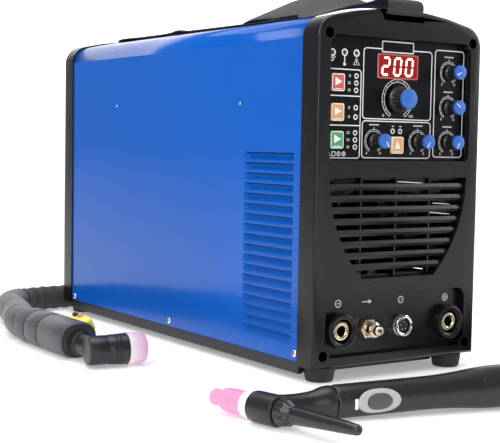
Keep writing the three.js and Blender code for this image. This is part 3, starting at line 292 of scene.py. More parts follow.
# ---------------------------------------------------------------- shapes
class Shape:
    """Vertices and faces of one piece, in millimetres."""

    def __init__(self):
        self.verts, self.faces, self.paint = [], [], []

    def add(self, verts, faces, where=Matrix(), paint=0):
        first = len(self.verts)
        self.verts += [where @ Vector(v) for v in verts]
        self.faces += [tuple(first + i for i in f) for f in faces]
        self.paint += [paint] * len(faces)
        return self

    def rings(self, rings, where=Matrix(), close=True, caps=True, paint=0):
        """A skin over rings of the same number of points."""
        n = len(rings[0])
        verts = [v for ring in rings for v in ring]
        faces = []
        for k in range(len(rings) - 1):
            for i in range(n if close else n - 1):
                j = (i + 1) % n
                faces.append((k * n + i, k * n + j, (k + 1) * n + j, (k + 1) * n + i))
        if caps and close:
            faces += [tuple(reversed(range(n))), tuple(range((len(rings) - 1) * n, len(rings) * n))]
        return self.add(verts, faces, where, paint)

    def turned(self, profile, where=Matrix(), segments=48, wide=1.0, paint=0, flutes=0, depth=0.0,
            fluted=(0, 0)):
        """A turned piece on +Y: pairs of radius and distance. Rings inside `fluted` are scalloped."""
        rings = []
        for r, t in profile:
            ring = []
            for i in range(segments):
                a = tau * i / segments
                cut = depth * (0.5 - 0.5 * cos(flutes * a)) if flutes and fluted[0] <= t <= fluted[1] else 0
                ring.append(((r - cut) * cos(a) * wide, t, (r - cut) * sin(a)))
            rings.append(ring)
        return self.rings(rings, where, paint=paint)

    def prism(self, outline, y0, y1, where=Matrix(), paint=0):
        """An outline in X and Z swept along Y."""
        return self.rings([[(x, y, z) for x, z in outline] for y in (y0, y1)], where, paint=paint)

    def block(self, x0, x1, y0, y1, z0, z1, where=Matrix(), paint=0):
        return self.prism([(x0, z0), (x1, z0), (x1, z1), (x0, z1)], y0, y1, where, paint)

    def ribbon(self, points, width, y, closed=False, paint=0):
        """A flat printed line in X and Z that faces the front."""
        n = len(points)
        verts = []
        for i, (x, z) in enumerate(points):
            a = points[i - 1] if i or closed else points[i]
            b = points[(i + 1) % n] if i < n - 1 or closed else points[i]
            dx, dz = b[0] - a[0], b[1] - a[1]
            length = sqrt(dx * dx + dz * dz) or 1
            nx, nz = -dz / length * width / 2, dx / length * width / 2
            verts += [(x + nx, y, z + nz), (x - nx, y, z - nz)]
        count = n if closed else n - 1
        faces = [(2 * i, 2 * i + 1, (2 * i + 3) % (2 * n), (2 * i + 2) % (2 * n)) for i in range(count)]
        return self.add(verts, faces, paint=paint)

    def flat(self, outline, y, paint=0):
        return self.add([(x, y, z) for x, z in outline], [tuple(range(len(outline)))], paint=paint)


def build(name, shape, materials, body, slot=None, replaces=(), bevel=0.0, segments=2, angle=32, matrix=None):
    mesh = bpy.data.meshes.new(name)
    verts = [v if matrix is None else matrix @ v for v in shape.verts]
    mesh.from_pydata([v / 1000 for v in verts], [], shape.faces)
    mesh.validate()
    for made in materials if isinstance(materials, (list, tuple)) else [materials]:
        mesh.materials.append(made)
    for polygon, paint in zip(mesh.polygons, shape.paint):
        polygon.material_index = paint
    return place(name, mesh, body, slot, replaces, bevel, segments, angle)


def place(name, mesh, body, slot=None, replaces=(), bevel=0.0, segments=2, angle=32):
    work = bmesh.new()
    work.from_mesh(mesh)
    bmesh.ops.recalc_face_normals(work, faces=work.faces)
    work.to_mesh(mesh)
    work.free()
    mesh.shade_smooth()
    mesh.set_sharp_from_angle(angle=radians(angle))
    obj = bpy.data.objects.new(name, mesh)
    scene.collection.objects.link(obj)
    if bevel:
        rounding = obj.modifiers.new("rounding", "BEVEL")
        rounding.width, rounding.segments = bevel / 1000, segments
        rounding.limit_method, rounding.angle_limit = "ANGLE", radians(angle)
        rounding.harden_normals = True
        rounding.miter_outer = "MITER_ARC"
    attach(obj, body)
    if replaces:
        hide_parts(*replaces)
    return obj


def refined(name, body, material, slot, bevel, segments=3, angle=32, face=None, fillet=0.0):
    """The CAD node's own shape with its flat faces joined up and its edges rounded."""
    source = nodes[name].data
    work = bmesh.new()
    vertices = [work.verts.new(v.co) for v in source.vertices]
    for polygon in source.polygons:
        try:
            work.faces.new([vertices[i] for i in polygon.vertices])
        except ValueError:
            pass
    bmesh.ops.remove_doubles(work, verts=work.verts, dist=2e-6)
    bmesh.ops.dissolve_limit(work, angle_limit=radians(0.5), verts=work.verts, edges=work.edges)
    if face is not None:
        def on_rim(v):
            x, z = v.co.x * 1000, v.co.z * 1000 - LIFT
            outside = abs(x) > 94.6 or z < 0.4 or sqrt(x * x + (z + 0.5) ** 2) > 315.5
            corner = max(0, abs(x) - 75) ** 2 + max(0, z - CORNER_Z) ** 2 > 19.5 ** 2
            return abs(v.co.y * 1000 - face) < 0.05 and (outside or corner)

        rim = [e for e in work.edges if all(on_rim(v) for v in e.verts)
               and any(abs(f.normal.y) < 0.1 for f in e.link_faces)]
        bmesh.ops.bevel(work, geom=rim, offset=fillet / 1000, segments=6, profile=0.5, affect="EDGES",
            clamp_overlap=False)
    mesh = bpy.data.meshes.new(name)
    work.to_mesh(mesh)
    work.free()
    mesh.materials.append(material)
    return place(name + "_shell", mesh, body, slot, [name], bevel, segments, angle)


def at(x=0, y=0, z=0):
    return Matrix.Translation((x, y, z))


def turn(degrees, axis):
    return Matrix.Rotation(radians(degrees), 4, axis)


def arc(cx, cz, r, a0, a1, steps=24):
    """Points on a circle, in degrees anticlockwise from +X."""
    return [(cx + r * cos(radians(a0 + (a1 - a0) * i / steps)),
        cz + r * sin(radians(a0 + (a1 - a0) * i / steps))) for i in range(steps + 1)]


def rounded(x0, x1, z0, z1, r, steps=6):
    corners = [(x1 - r, z0 + r, -90), (x1 - r, z1 - r, 0), (x0 + r, z1 - r, 90), (x0 + r, z0 + r, 180)]
    return [p for cx, cz, a in corners for p in arc(cx, cz, r, a, a + 90, steps)]


def outline(inset, bottom, steps=28):
    """The housing's arched outline above the bezel's bottom edge."""
    half, crown, corner = 95 - inset, 316 - inset, 20 - inset
    centre = 315.5 - 316
    cx = half - corner
    cz = centre + sqrt((crown - corner) ** 2 - cx ** 2)
    meet = atan2(cz - centre, cx) * 360 / tau
    points = [(-half, bottom), (half, bottom)] + arc(cx, cz, corner, 0, meet, 14)
    points += arc(0, centre, crown, meet, 180 - meet, steps)[1:-1] + arc(-cx, cz, corner, 180 - meet, 180, 14)
    return points


def smooth(points, step):
    """Points every `step` along a centripetal Catmull-Rom curve through the given ones."""
    pts = [Vector((*p, 0)[:3]) for p in points]
    pts = [2 * pts[0] - pts[1]] + pts + [2 * pts[-1] - pts[-2]]
    fine = []
    for p0, p1, p2, p3 in zip(pts, pts[1:], pts[2:], pts[3:]):
        t1 = (p1 - p0).length ** 0.5
        t2 = t1 + (p2 - p1).length ** 0.5
        t3 = t2 + (p3 - p2).length ** 0.5
        for i in range(40):
            t = t1 + (t2 - t1) * i / 40
            a1 = p0 * ((t1 - t) / t1) + p1 * (t / t1)
            a2 = p1 * ((t2 - t) / (t2 - t1)) + p2 * ((t - t1) / (t2 - t1))
            a3 = p2 * ((t3 - t) / (t3 - t2)) + p3 * ((t - t2) / (t3 - t2))
            b1 = a1 * ((t2 - t) / t2) + a2 * (t / t2)
            b2 = a2 * ((t3 - t) / (t3 - t1)) + a3 * ((t - t1) / (t3 - t1))
            fine.append(b1 * ((t2 - t) / (t2 - t1)) + b2 * ((t - t1) / (t2 - t1)))
    fine.append(pts[-2])
    return evenly(fine, step)


def evenly(points, step):
    total = sum((b - a).length for a, b in zip(points, points[1:]))
    count = max(2, round(total / step))
    gap, made, run = total / count, [points[0]], 0.0
    for a, b in zip(points, points[1:]):
        length = (b - a).length
        while length > 0 and run + length >= gap - 1e-9 and len(made) < count:
            a = a + (b - a) * ((gap - run) / length)
            length = (b - a).length
            made.append(a)
            run = 0.0
        run += length
    return made + [points[-1]]


def frames_along(path):
    """Two directions across the path at each of its points, without twist."""
    across, result = None, []
    for i, p in enumerate(path):
        ahead = (path[min(i + 1, len(path) - 1)] - path[max(i - 1, 0)]).normalized()
        across = (across or ahead.orthogonal())
        across = (across - ahead * across.dot(ahead)).normalized()
        result.append((across, ahead.cross(across)))
    return result


def swept(path, radius, sides=32):
    """Rings along a path; radius is a function of the distance along it."""
    rings, run = [], 0.0
    for i, (p, (u, v)) in enumerate(zip(path, frames_along(path))):
        run += (p - path[i - 1]).length if i else 0
        r = radius(run) if callable(radius) else radius
        rings.append([p + u * r * cos(tau * k / sides) + v * r * sin(tau * k / sides) for k in range(sides)])
    return rings


# ---------------------------------------------------------------- cords
def line(name, points, diameter, material, body):
    data = bpy.data.curves.new(name, "CURVE")
    data.dimensions = "3D"
    data.bevel_depth, data.bevel_resolution = diameter / 2000, 5
    data.use_fill_caps = True
    spline = data.splines.new("POLY")
    spline.points.add(len(points) - 1)
    for point, p in zip(spline.points, points):
        point.co = (*(p / 1000), 1)
    data.materials.append(material)
    obj = bpy.data.objects.new(name, data)
    scene.collection.objects.link(obj)
    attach(obj, body)
    return obj


def length_of(points):
    return sum((b - a).length for a, b in zip(points, points[1:])) / 1000


COIL_STEP = 90  # degrees over which a turn moves on to the next


def wound(centre, floor_axis, diameter=12):
    """Seven and a quarter turns in two layers: in at the front heading +X, out at the right heading +Y."""
    first, outward, last = -90.0, 1710, 2520  # degrees: entry, the count for widening, and exit
    upward = 1350  # degrees from which its step up to the second layer is counted back

    def ease(s):
        s = min(1, max(0, s))
        return 2 * s * s if s < 0.5 else 1 - 2 * (1 - s) ** 2

    points, angle = [], first
    while angle <= last + 0.01:
        r = 84  # the outermost turn
        for k in range(3):
            r -= diameter * ease((angle - (first + 360 * (k + 1) - COIL_STEP)) / COIL_STEP)
            r += diameter * ease((angle - (outward - 3 * COIL_STEP + 360 * k)) / COIL_STEP)
        z = diameter * ease((angle - (upward - 2 * COIL_STEP)) / COIL_STEP)
        a = radians(angle)
        points.append(Vector((centre[0] + r * cos(a), centre[1] + r * sin(a), floor_axis + z)))
        angle += 7.5
    return points


TIG_COIL, PLASMA_COIL = (172, -346), (112, 384)


def tig_cord():
    way_in = smooth([(86.9, -413.75, 13.55), (94, -415.3, 12.3), (101, -416.8, 10.2), (110, -418.8, 7.0),
        (122, -421.5, 3.2), (136, -425, 0.9), (152, -428.4, 0.1), (166, -429.9, 0)], 6)
    coil = wound(TIG_COIL, 0)
    end = coil[-1]
    way_out = smooth([end, (256, -334, 2.2), (256, -318, 6.4), (256, -303, 9.2), (256, -290, 9.5)], 6)
    path = way_in + coil + way_out[1:]
    return path


def plasma_cord():
    way_in = smooth([(46, 288, 3.0), (58, 290.2, 1.2), (70, 293.4, 0), (84, 296.8, 0), (98, 299.2, 0),
        (106, 299.9, 0)], 6)
    coil = wound(PLASMA_COIL, 0)
    way_out = smooth([coil[-1], (196, 396, 1.6), (196, 412, 4.6), (196, 427, 6.8), (196, 440, 7)], 6)
    return way_in + coil + way_out[1:]


def connector(name, profile, where, materials, body, slot, cad, **flutes):
    shape = Shape().turned(profile, where, 60, **flutes)
    return build(name, shape, materials, body, slot, [cad])


def cords():
    path = tig_cord()
    cable = line("tig_cable_run", path, 12, CABLE, "tig_torch")
    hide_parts("tig_cable", "tig_coil")
    plug = connector("tig_plug_shell", [(0.5, -0.3), (7.2, 0), (8.2, 8), (9.2, 20), (10.4, 30),
        (12.6, 33.6), (15, 34.6), (15.4, 36), (15.4, 70), (14.6, 72), (13.2, 74.4), (12.6, 74.8), (7.2, 75),
        (6.5, 75.6), (6.5, 96), (6.1, 98), (5.2, 98.9), (0.5, 98.9)], at(256, -295.5, 9.5),
        [RUBBER, BRASS], "tig_torch", "rubber", "tig_plug", flutes=20, depth=0.7, fluted=(38, 68))
    for polygon in plug.data.polygons:
        polygon.material_index = 1 if polygon.center.y > -0.2205 + 0.0002 else 0

    path = plasma_cord()
    cable = line("plasma_cable_run", path, 12, CABLE, "plasma_torch")
    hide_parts("plasma_coil")
    nut = connector("plasma_connector_shell",
        [(0.5, -0.3), (7, 0), (8.5, 16), (9.4, 22), (10.4, 26), (12.6, 27.6), (13, 29), (13, 50),
        (12.4, 52), (11, 53.8), (8, 54.1), (7, 54.6), (7, 72.6), (6.4, 73.8), (5.4, 73.8), (5.2, 66),
        (0.5, 66)], at(196, 434.5, 7), [TORCH_BLACK, BRASS], "plasma_torch", "torch_black",
        "plasma_connector", flutes=12, depth=0.9, fluted=(30, 49))
    for polygon in nut.data.polygons:
        polygon.material_index = 1 if polygon.center.y > 0.4345 + 0.0542 else 0
    route = smooth(PLASMA_ROUTE, 2)
    total = length_of(route) * 1000
    run, points = 0.0, []
    for i, p in enumerate(route):
        run += (p - route[i - 1]).length if i else 0
        if run >= 206.3:
            points.append(p + Vector((0, 0, FLOOR + 14.6)))
    sleeve_path = evenly(points, 3)
    wrinkled = Shape().rings(swept(sleeve_path,
        lambda s: 13.7 + 0.55 * sin(s * 0.42) + 0.35 * sin(s * 0.97 + 1), 48))
    sleeve = build("plasma_hose_sleeve", wrinkled, SLEEVE, "plasma_torch", "sleeve", ["plasma_sleeve"])
    cuff_path = evenly(smooth([(34, 285.6), (46, 288), (60, 290.7), (74, 294.4)], 3), 2)
    cuff_length = length_of(cuff_path) * 1000

    def cuff_radius(s):
        return 15.0 - 0.5 * (s > 14) - 7.8 * max(0, s - 14) / (cuff_length - 14)

    cuff_path = [p + Vector((0, 0, FLOOR + 0.1 + cuff_radius(cuff_length * i / (len(cuff_path) - 1))))
                 for i, p in enumerate(cuff_path)]
    cuff = build("plasma_sleeve_cuff", Shape().rings(swept(
        cuff_path, cuff_radius, 36)),
        RUBBER, "plasma_torch", "rubber")
    print("cords: tig", round(length_of(tig_cord()), 3), "plasma", round(length_of(path), 3),
          "sleeve", round(length_of(sleeve_path), 3), "route", round(total, 1))


PLASMA_ROUTE = [(-216.6, 70.3), (-216.6, 80), (-214, 100), (-207.5, 120), (-199.5, 142), (-191, 170),
    (-185.5, 195), (-179, 218), (-170, 238), (-156, 254), (-138, 264), (-118, 269), (-98, 271.5),
    (-60, 274.5), (-20, 278), (20, 283), (52, 289)]
cords()


# ---------------------------------------------------------------- housing
def cover():
    """The steel cover: a folded skin with louvres pressed inwards, each open along its top."""
    shape = Shape()
    y0, y1 = COVER_FRONT, COVER_BACK
    l0, l1 = y0 + 11.2, y0 + 90.2
    section = outline(1.5, 3.3)
    top = section[2][1]
    rest = [p for p in section if p[1] >= top - 0.01]
    shape.rings([[(x, y, z) for x, z in rest] for y in (y0, y1)], close=False, caps=False)
    rows = [(186.5 - i * 9.46 - 8.2, 186.5 - i * 9.46) for i in range(18)][::-1]
    levels = [3.3] + [z for row in rows for z in row] + [top]
    for side in (-1, 1):
        x = side * 93.5
        for a, b in ((y0, l0), (l0, l1), (l1, y1)):
            for k, (z0, z1) in enumerate(zip(levels, levels[1:])):
                if a == l0 and k % 2:
                    continue
                shape.add([(x, a, z0), (x, b, z0), (x, b, z1), (x, a, z1)], [(0, 1, 2, 3)])
        for z0, z1 in rows:
            along, up = 28, 7
            verts = []
            for j in range(up + 1):
                v = j / up
                for i in range(along + 1):
                    u = i / along
                    y = l0 + (l1 - l0) * u
                    end = min(1, min(y - l0, l1 - y) / 6.5)
                    depth = 4.4 * sin(pi / 2 * min(1, 1.15 * v)) * sqrt(max(0, 1 - (1 - end) ** 2))
                    verts.append((x - side * depth, y, z0 + (z1 - z0 - 0.2) * v))
            faces = [(j * (along + 1) + i, j * (along + 1) + i + 1, (j + 1) * (along + 1) + i + 1,
                (j + 1) * (along + 1) + i) for j in range(up) for i in range(along)]
            shape.add(verts, faces)
    mesh = bpy.data.meshes.new("cover")
    mesh.from_pydata([(v + Vector((0, 0, LIFT))) / 1000 for v in shape.verts], [], shape.faces)
    mesh.materials.append(BLUE_PAINT)
    obj = place_oriented("cover_skin", mesh)
    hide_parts("cover")


def place_oriented(name, mesh):
    """A sheet whose faces all point away from the machine's middle, given its thickness inwards; its inner faces
    carry painted shade.
    """
    work = bmesh.new()
    work.from_mesh(mesh)
    bmesh.ops.remove_doubles(work, verts=work.verts, dist=1e-6)
    for face in work.faces:
        middle = face.calc_center_median()
        if face.normal.x * middle.x + face.normal.z * (middle.z - 0.15) * (abs(middle.z) > 0.29) < 0:
            face.normal_flip()
    work.to_mesh(mesh)
    work.free()
    mesh.shade_smooth()
    mesh.set_sharp_from_angle(angle=radians(38))
    for polygon in mesh.polygons:
        polygon.use_smooth = not (abs(polygon.normal.x) > 0.999 and polygon.area > 2e-5)
    obj = bpy.data.objects.new(name, mesh)
    scene.collection.objects.link(obj)
    # The inner faces take this near-black through the material offset: painted shade for the dark inside of the
    # housing.
    mesh.materials.append(BLACK_PAINT_AND_INNER_SHADE)
    thick = obj.modifiers.new("gauge", "SOLIDIFY")
    thick.thickness, thick.offset, thick.material_offset = 0.0011, -1, 1
    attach(obj, "machine")
    return obj


def pan_head(name, place, facing, radius, proud, material, body="machine", drive="cross", slot="chrome"):
    """A screw or rivet head whose face looks along `facing`."""
    steps = [(radius * cos(a), proud * sin(a)) for a in [radians(90 * i / 7) for i in range(8)]]
    shape = Shape().turned([(0.02, 0)] + [(radius, 0)] + [(max(r, 0.02), t + 0.15) for r, t in steps],
        segments=28)
    # The cross recess is a thin dark bar laid on the head: painted shade, not a cut.
    if drive == "cross":
        for degrees in (20, 110):
            shape.block(-radius * 0.62, radius * 0.62, proud + 0.02, proud + 0.2, -radius * 0.13,
                radius * 0.13, turn(degrees, "Y"), paint=1)
    # The hex socket is a thin dark disc on the head: painted shade.
    if drive == "socket":
        shape.turned([(0.01, proud + 0.18), (radius * 0.42, proud + 0.18), (radius * 0.42, proud + 0.24),
                      (0.01, proud + 0.24)], segments=6, paint=1)
    way = Vector((0, 1, 0)).rotation_difference(Vector(facing)).to_matrix().to_4x4()
    return build(name, shape, [material, PAINTED_HOLE_SHADE], body, slot, matrix=at(*place) @ way)


def housing():
    refined("front_bezel", "machine", BLACK_PLASTIC, "black_plastic", 0, face=FRONT, fillet=3.2, angle=40)
    refined("rear_bezel", "machine", BLACK_PLASTIC, "black_plastic", 0, face=BACK, fillet=3.2, angle=40)
    refined("base_pan", "machine", BLACK_PAINT_AND_INNER_SHADE, "black_paint", 0.25, 2)
    refined("front_grille", "machine", SLAT_PLASTIC, "black_plastic", 0.5, 3, 25)
    refined("connector_plate", "machine", BLACK_PLASTIC, "black_paint", 0.25, 2)
    for name in ("foot_front_left", "foot_front_right", "foot_rear_left", "foot_rear_right"):
        low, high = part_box(name)
        x, y = [500 * (low[i] + high[i]) for i in (0, 1)]
        profile = [(0.02, -6), (10.5, -6), (11.6, -5.7), (12.4, -4.9), (13, -2), (13.9, 3.6), (14, 7),
            (0.02, 7.1)]
        foot = Shape().turned([(r, -t) for r, t in profile][::-1], turn(-90, "X"), 40)
        build(name + "_rubber", foot, RUBBER, "machine", "rubber", [name], matrix=at(x, y, 0))
    for i, (x, z) in enumerate([(-83.5, 290), (83.5, 290), (-83.5, 10.8), (83.5, 10.8)]):
        pan_head(f"front_screw_{i + 1}", (x, -253.0, z + LIFT), (0, -1, 0), 3.9, 1.5, CHROME)
        pan_head(f"rear_screw_{i + 1}", (x, 253.3, z + LIFT), (0, 1, 0), 3.1, 1.2, STEEL)
        ring = Shape().turned([(4.55, -3.2), (5.0, -3.2), (5.2, -3.0), (5.2, 0), (4.55, 0), (4.55, -3.2)],
            segments=32)
        build(f"screw_well_{i + 1}", ring, BLACK_PLASTIC, "machine", "black_plastic",
            matrix=at(x, -251.9, z + LIFT))
    for side, x in (("left", -93.5), ("right", 93.5)):
        way = (x / 93.5, 0, 0)
        for i, (y, z) in enumerate([(120, 233), (-132, 231.5)]):
            pan_head(f"{side}_rivet_{i + 1}", (x, y, z + LIFT), way, 1.5, 0.45, STEEL, drive="none")
        for i, (y, z) in enumerate([(225, 5.7 + 2), (-3, 6.9 + 2), (-226.5, 8.1 + 2)]):
            pan_head(f"{side}_cover_screw_{i + 1}", (x, y, z + LIFT), way, 3.4, 1.6, CHROME)


# ---------------------------------------------------------------- front panel
KNOBS = {"pre_flow_knob": (60.5, 262.3, -117), "post_flow_knob": (60.5, 230.3, -54),
    "down_slope_knob": (60.5, 198.3, -150), "frequency_knob": (-26.8, 198.3, 148),
    "balance_knob": (24.5, 198.3, -145)}
SEGMENTS = {"0": "abcdef", "1": "bc", "2": "abged", "5": "afgcd", "6": "afgedc", "8": "abcdefg"}


def digit(shape, figure, x, z, width, height, stroke, y, slant=0.1, depth=0, paint=0):
    """A seven-segment figure: its lower left corner at x, z."""
    w, h, s, g = width, height, stroke / 2, stroke * 0.04
    ends = {"a": ((0, h), (w, h)), "b": ((w, h), (w, h / 2)), "c": ((w, h / 2), (w, 0)),
        "d": ((0, 0), (w, 0)), "e": ((0, h / 2), (0, 0)), "f": ((0, h), (0, h / 2)),
        "g": ((0, h / 2), (w, h / 2))}
    for name in SEGMENTS[figure]:
        (ax, az), (bx, bz) = ends[name]
        if az == bz:
            bar = [(ax + s * .4 + g, az), (ax + s + g, az + s), (bx - s - g, az + s), (bx - s * .4 - g, az),
                   (bx - s - g, az - s), (ax + s + g, az - s)]
        else:
            low, high = sorted((az, bz))
            bar = [(ax, low + s * .4 + g), (ax + s, low + s + g), (ax + s, high - s - g),
                (ax, high - s * .4 - g), (ax - s, high - s - g), (ax - s, low + s + g)]
        bar = [(x + px + slant * pz, z + pz) for px, pz in bar]
        if depth:
            shape.prism(bar, y, y + depth, paint=paint)
        else:
            shape.flat(bar, y, paint=paint)


def scale_arc(shape, x, z, inner, outer, y, ticks, width):
    """A dial's printed scale from seven to five o'clock: two arcs joined by ticks."""
    for r in (inner, outer):
        shape.ribbon(arc(x, z, r, 240, -60, 48), width, y)
    for i in range(ticks + 1):
        a = radians(240 - 300 * i / ticks)
        shape.ribbon([(x + r * cos(a), z + r * sin(a)) for r in (inner, outer)], width * 0.9, y)


def panel_print():
    y = PANEL - 0.07
    ink = Shape()

    def loop(points, width=0.95):
        ink.ribbon(points, width, y, closed=True)

    def path(points, width=0.95):
        ink.ribbon(points, width, y)

    loop(rounded(-40.2, 39.5, 218, 280, 3.2))
    loop(rounded(-40.2, 39.5, 183.4, 216, 3.2))
    loop(rounded(43.6, 79.0, 184.6, 282.5, 3.2))
    path([(-80.5, 260)] + arc(-45.6, 257.2, 2.8, 90, 0, 6) + arc(-45.6, 185.8, 2.8, 0, -90, 6)
        + [(-80.5, 183)])
    for z in (237.1, 211.5):
        path([(-80.5, z), (-42.8, z)])
    label = rounded(-19.4, 16.9, 277.5, 286.8, 0.8)
    ink.flat(label, y - 0.02, paint=1)
    ink.ribbon(label, 1.0, y - 0.04, closed=True)
    scale_arc(ink, -0.5, 236, 15.4, 17.9, y, 12, 0.55)
    for name, (x, z, pointer) in KNOBS.items():
        scale_arc(ink, x, z, 8.7, 10.3, y, 10, 0.42)
    for x, z in ((-74.6, 274), (-61.5, 274.6), (-48.4, 274.6)):
        loop(arc(x, z, 2.7, 0, 360 - 15, 23), 1.15)
    for z in (254.7, 248.6, 242.3, 227.1, 219, 205.2, 199, 192.7):
        loop(arc(-48, z, 1.95, 0, 360 - 15, 23), 0.9)
        width = {254.7: 2.2, 227.1: 2.4, 219: 2.0}.get(z, 3.2)
        for row in (0.7, -0.7):
            ink.ribbon([(-57.4 + (3.2 - width), z + row), (-54.2, z + row)], 0.5, y)
    for x in (-5.2, 3.6):
        loop(arc(x, 207.4, 1.95, 0, 360 - 15, 23), 0.9)
        ink.ribbon([(x - 1.2, 211.8), (x + 1.2, 211.8)], 0.8, y)
    loop(arc(-75, 268.3, 1.5, 0, 345, 23), 0.8)
    path(arc(-75, 268.3, 3.4, 20, 60, 6), 0.8)
    path([(-61.5, 271.2), (-61.5, 265.2)], 1.1)
    ink.flat(arc(-61.5, 264.6, 1.6, 0, 345, 23), y)
    loop([(-51.6, 264.4), (-45.2, 264.4), (-48.4, 270.6)], 0.8)
    ink.flat([(-48.9, 265.6), (-47.9, 265.6), (-48.2, 268.8), (-48.6, 268.8)], y)
    loop([(-78.8, 184.7), (-74.6, 184.7), (-76.7, 188.7)], 0.7)
    loop(rounded(-73.2, -69.6, 184.8, 188.4, 0.5), 0.7)
    for x in (-66, -60.4):
        loop(arc(x, 186.6, 1.8, 0, 345, 23), 0.7)
        ink.flat(arc(x, 186.6, 0.7, 0, 330, 11), y)
    small = dict(width=0.95, height=1.9, stroke=0.42, y=y, slant=0.0)
    for x, z, figures in [(-18.5, 220.3, "10"), (13.5, 220.3, "200")] + [
            (kx + dx, kz - 11.6, f) for kx, kz, _ in KNOBS.values() for dx, f in ((-8.4, "0"), (5.6, "10"))]:
        for i, figure in enumerate(figures):
            digit(ink, figure, x + 1.7 * i, z, **small)
    for kx, kz, _ in KNOBS.values():
        for k in range(5):
            ink.ribbon([(kx - 5.4 + 2.3 * k, kz + 14.4), (kx - 3.8 + 2.3 * k, kz + 14.4)], 1.1, y)
        ink.ribbon([(kx, kz + 12.6), (kx, kz + 10.6)], 0.45, y)
    for x, kind in ((-62.6, "minus"), (63.7, "plus")):
        z = 55 if kind == "minus" else 53.8
        loop(arc(x, z, 3.1, 0, 345, 23), 0.85)
        ink.ribbon([(x - 1.8, z), (x + 1.8, z)], 0.8, y)
        if kind == "plus":
            ink.ribbon([(x, z - 1.8), (x, z + 1.8)], 0.8, y)
    # A flow arrow by the gas outlet and a plug sign by the control socket, in place of words.
    path([(-35.5, 55), (-27.5, 55)], 0.8)
    ink.flat([(-28.2, 53.1), (-24.6, 55), (-28.2, 56.9)], y)
    loop(arc(9.5, 54.6, 2.9, 0, 345, 23), 0.7)
    for a in (90, 210, 330):
        ink.flat(arc(9.5 + 1.3 * cos(radians(a)), 54.6 + 1.3 * sin(radians(a)), 0.42, 0, 315, 7), y)
    build("panel_markings", ink, [INK, PANEL_FILM], "machine", "panel_print", matrix=at(0, 0, LIFT))

    lenses = Shape()
    top_lamps = [(-74.6, 274, 2), (-61.5, 274.6, 2), (-48.4, 274.6, 2)]
    output_lamps = [(x, 207.4, 1.4) for x in (-5.2, 3.6)]
    mode_lamps = [(-48, z, 1.4) for z in (254.7, 248.6, 242.3, 227.1, 219, 205.2, 199, 192.7)]
    for x, z, r in top_lamps + output_lamps + mode_lamps:
        lenses.turned([(0.02, -0.35), (r * 0.6, -0.28), (r, 0), (r, 0.3)], at(x, PANEL - 0.05, z), 18)
    build("indicator_lenses", lenses, LENS, "machine", "panel_print", matrix=at(0, 0, LIFT))


def display():
    glass = Shape().prism(rounded(-24.3, 22.3, 254.2, 275.8, 1.2), PANEL - 0.55, PANEL + 2)
    build("display_glass", glass, RED_WINDOW, "machine", "red_window", ["display_window"], 0.25,
        matrix=at(0, 0, LIFT))
    rim = Shape()
    rings = []
    for inset, y in ((0, PANEL + 0.2), (0, PANEL - 0.5), (0.35, PANEL - 0.85), (0.9, PANEL - 0.85),
            (1.2, PANEL - 0.5)):
        rings.append([(x, y, z) for x, z in rounded(-24.6 + inset, 22.6 - inset, 253.9 + inset,
            276.1 - inset, 1.6)])
    rim.rings(rings, caps=False)
    build("display_rim", rim, RED_TRIM, "machine", "red_window", matrix=at(0, 0, LIFT))
    digits = Shape()
    for i, figure in enumerate("200"):
        digit(digits, figure, -19.6 + 13.6 * i, 257.4, 7.4, 15.0, 2.1, PANEL - 0.62, 0.09, 0.06)
    build("display_digits", digits, DIGITS, "machine", "red_window", matrix=at(0, 0, LIFT))


def buttons():
    for name, (x, z) in {"process_button": (-69, 248.5), "gas_button": (-69, 222.8),
                         "trigger_mode_button": (-69, 198.8), "output_button": (-0.4, 194.9)}.items():
        key = Shape()
        rings = []
        for inset, y in ((0, PANEL + 2), (0, PANEL - 1.2), (0.3, PANEL - 1.8), (0.7, PANEL - 2.0),
                (1.25, PANEL - 2.0), (1.5, PANEL - 1.8), (7.0, PANEL - 1.75)):
            rings.append([(px, y, pz) for px, pz in rounded(-7.3 + inset, 7.3 - inset, -7.8 + inset,
                7.8 - inset, max(0.25, 2.0 - inset * 0.6))])
        key.rings(rings)
        key.paint = [1 if 2 * 28 <= i < 4 * 28 else 0 for i in range(len(key.faces))]
        mark = [(-3.4, 4.6), (-3.4, -3.2), (4.2, 0.7)]
        if name == "output_button":
            mark = [(-3.6, -3.4), (3.6, -3.4), (0, 4.2)]
        key.prism(mark, PANEL - 1.86, PANEL - 1.7, paint=1)
        key.ribbon([(-4.2, -5.6), (4.2, -5.6)], 0.7, PANEL - 1.8, paint=1)
        slot = {"process_button": "red_button", "trigger_mode_button": "green_button"}.get(name, "orange_button")
        build(name + "_key", key, [KEYS[name], KEY_PALE], name + "_body", slot, [name],
            matrix=at(x, 0, z + LIFT))


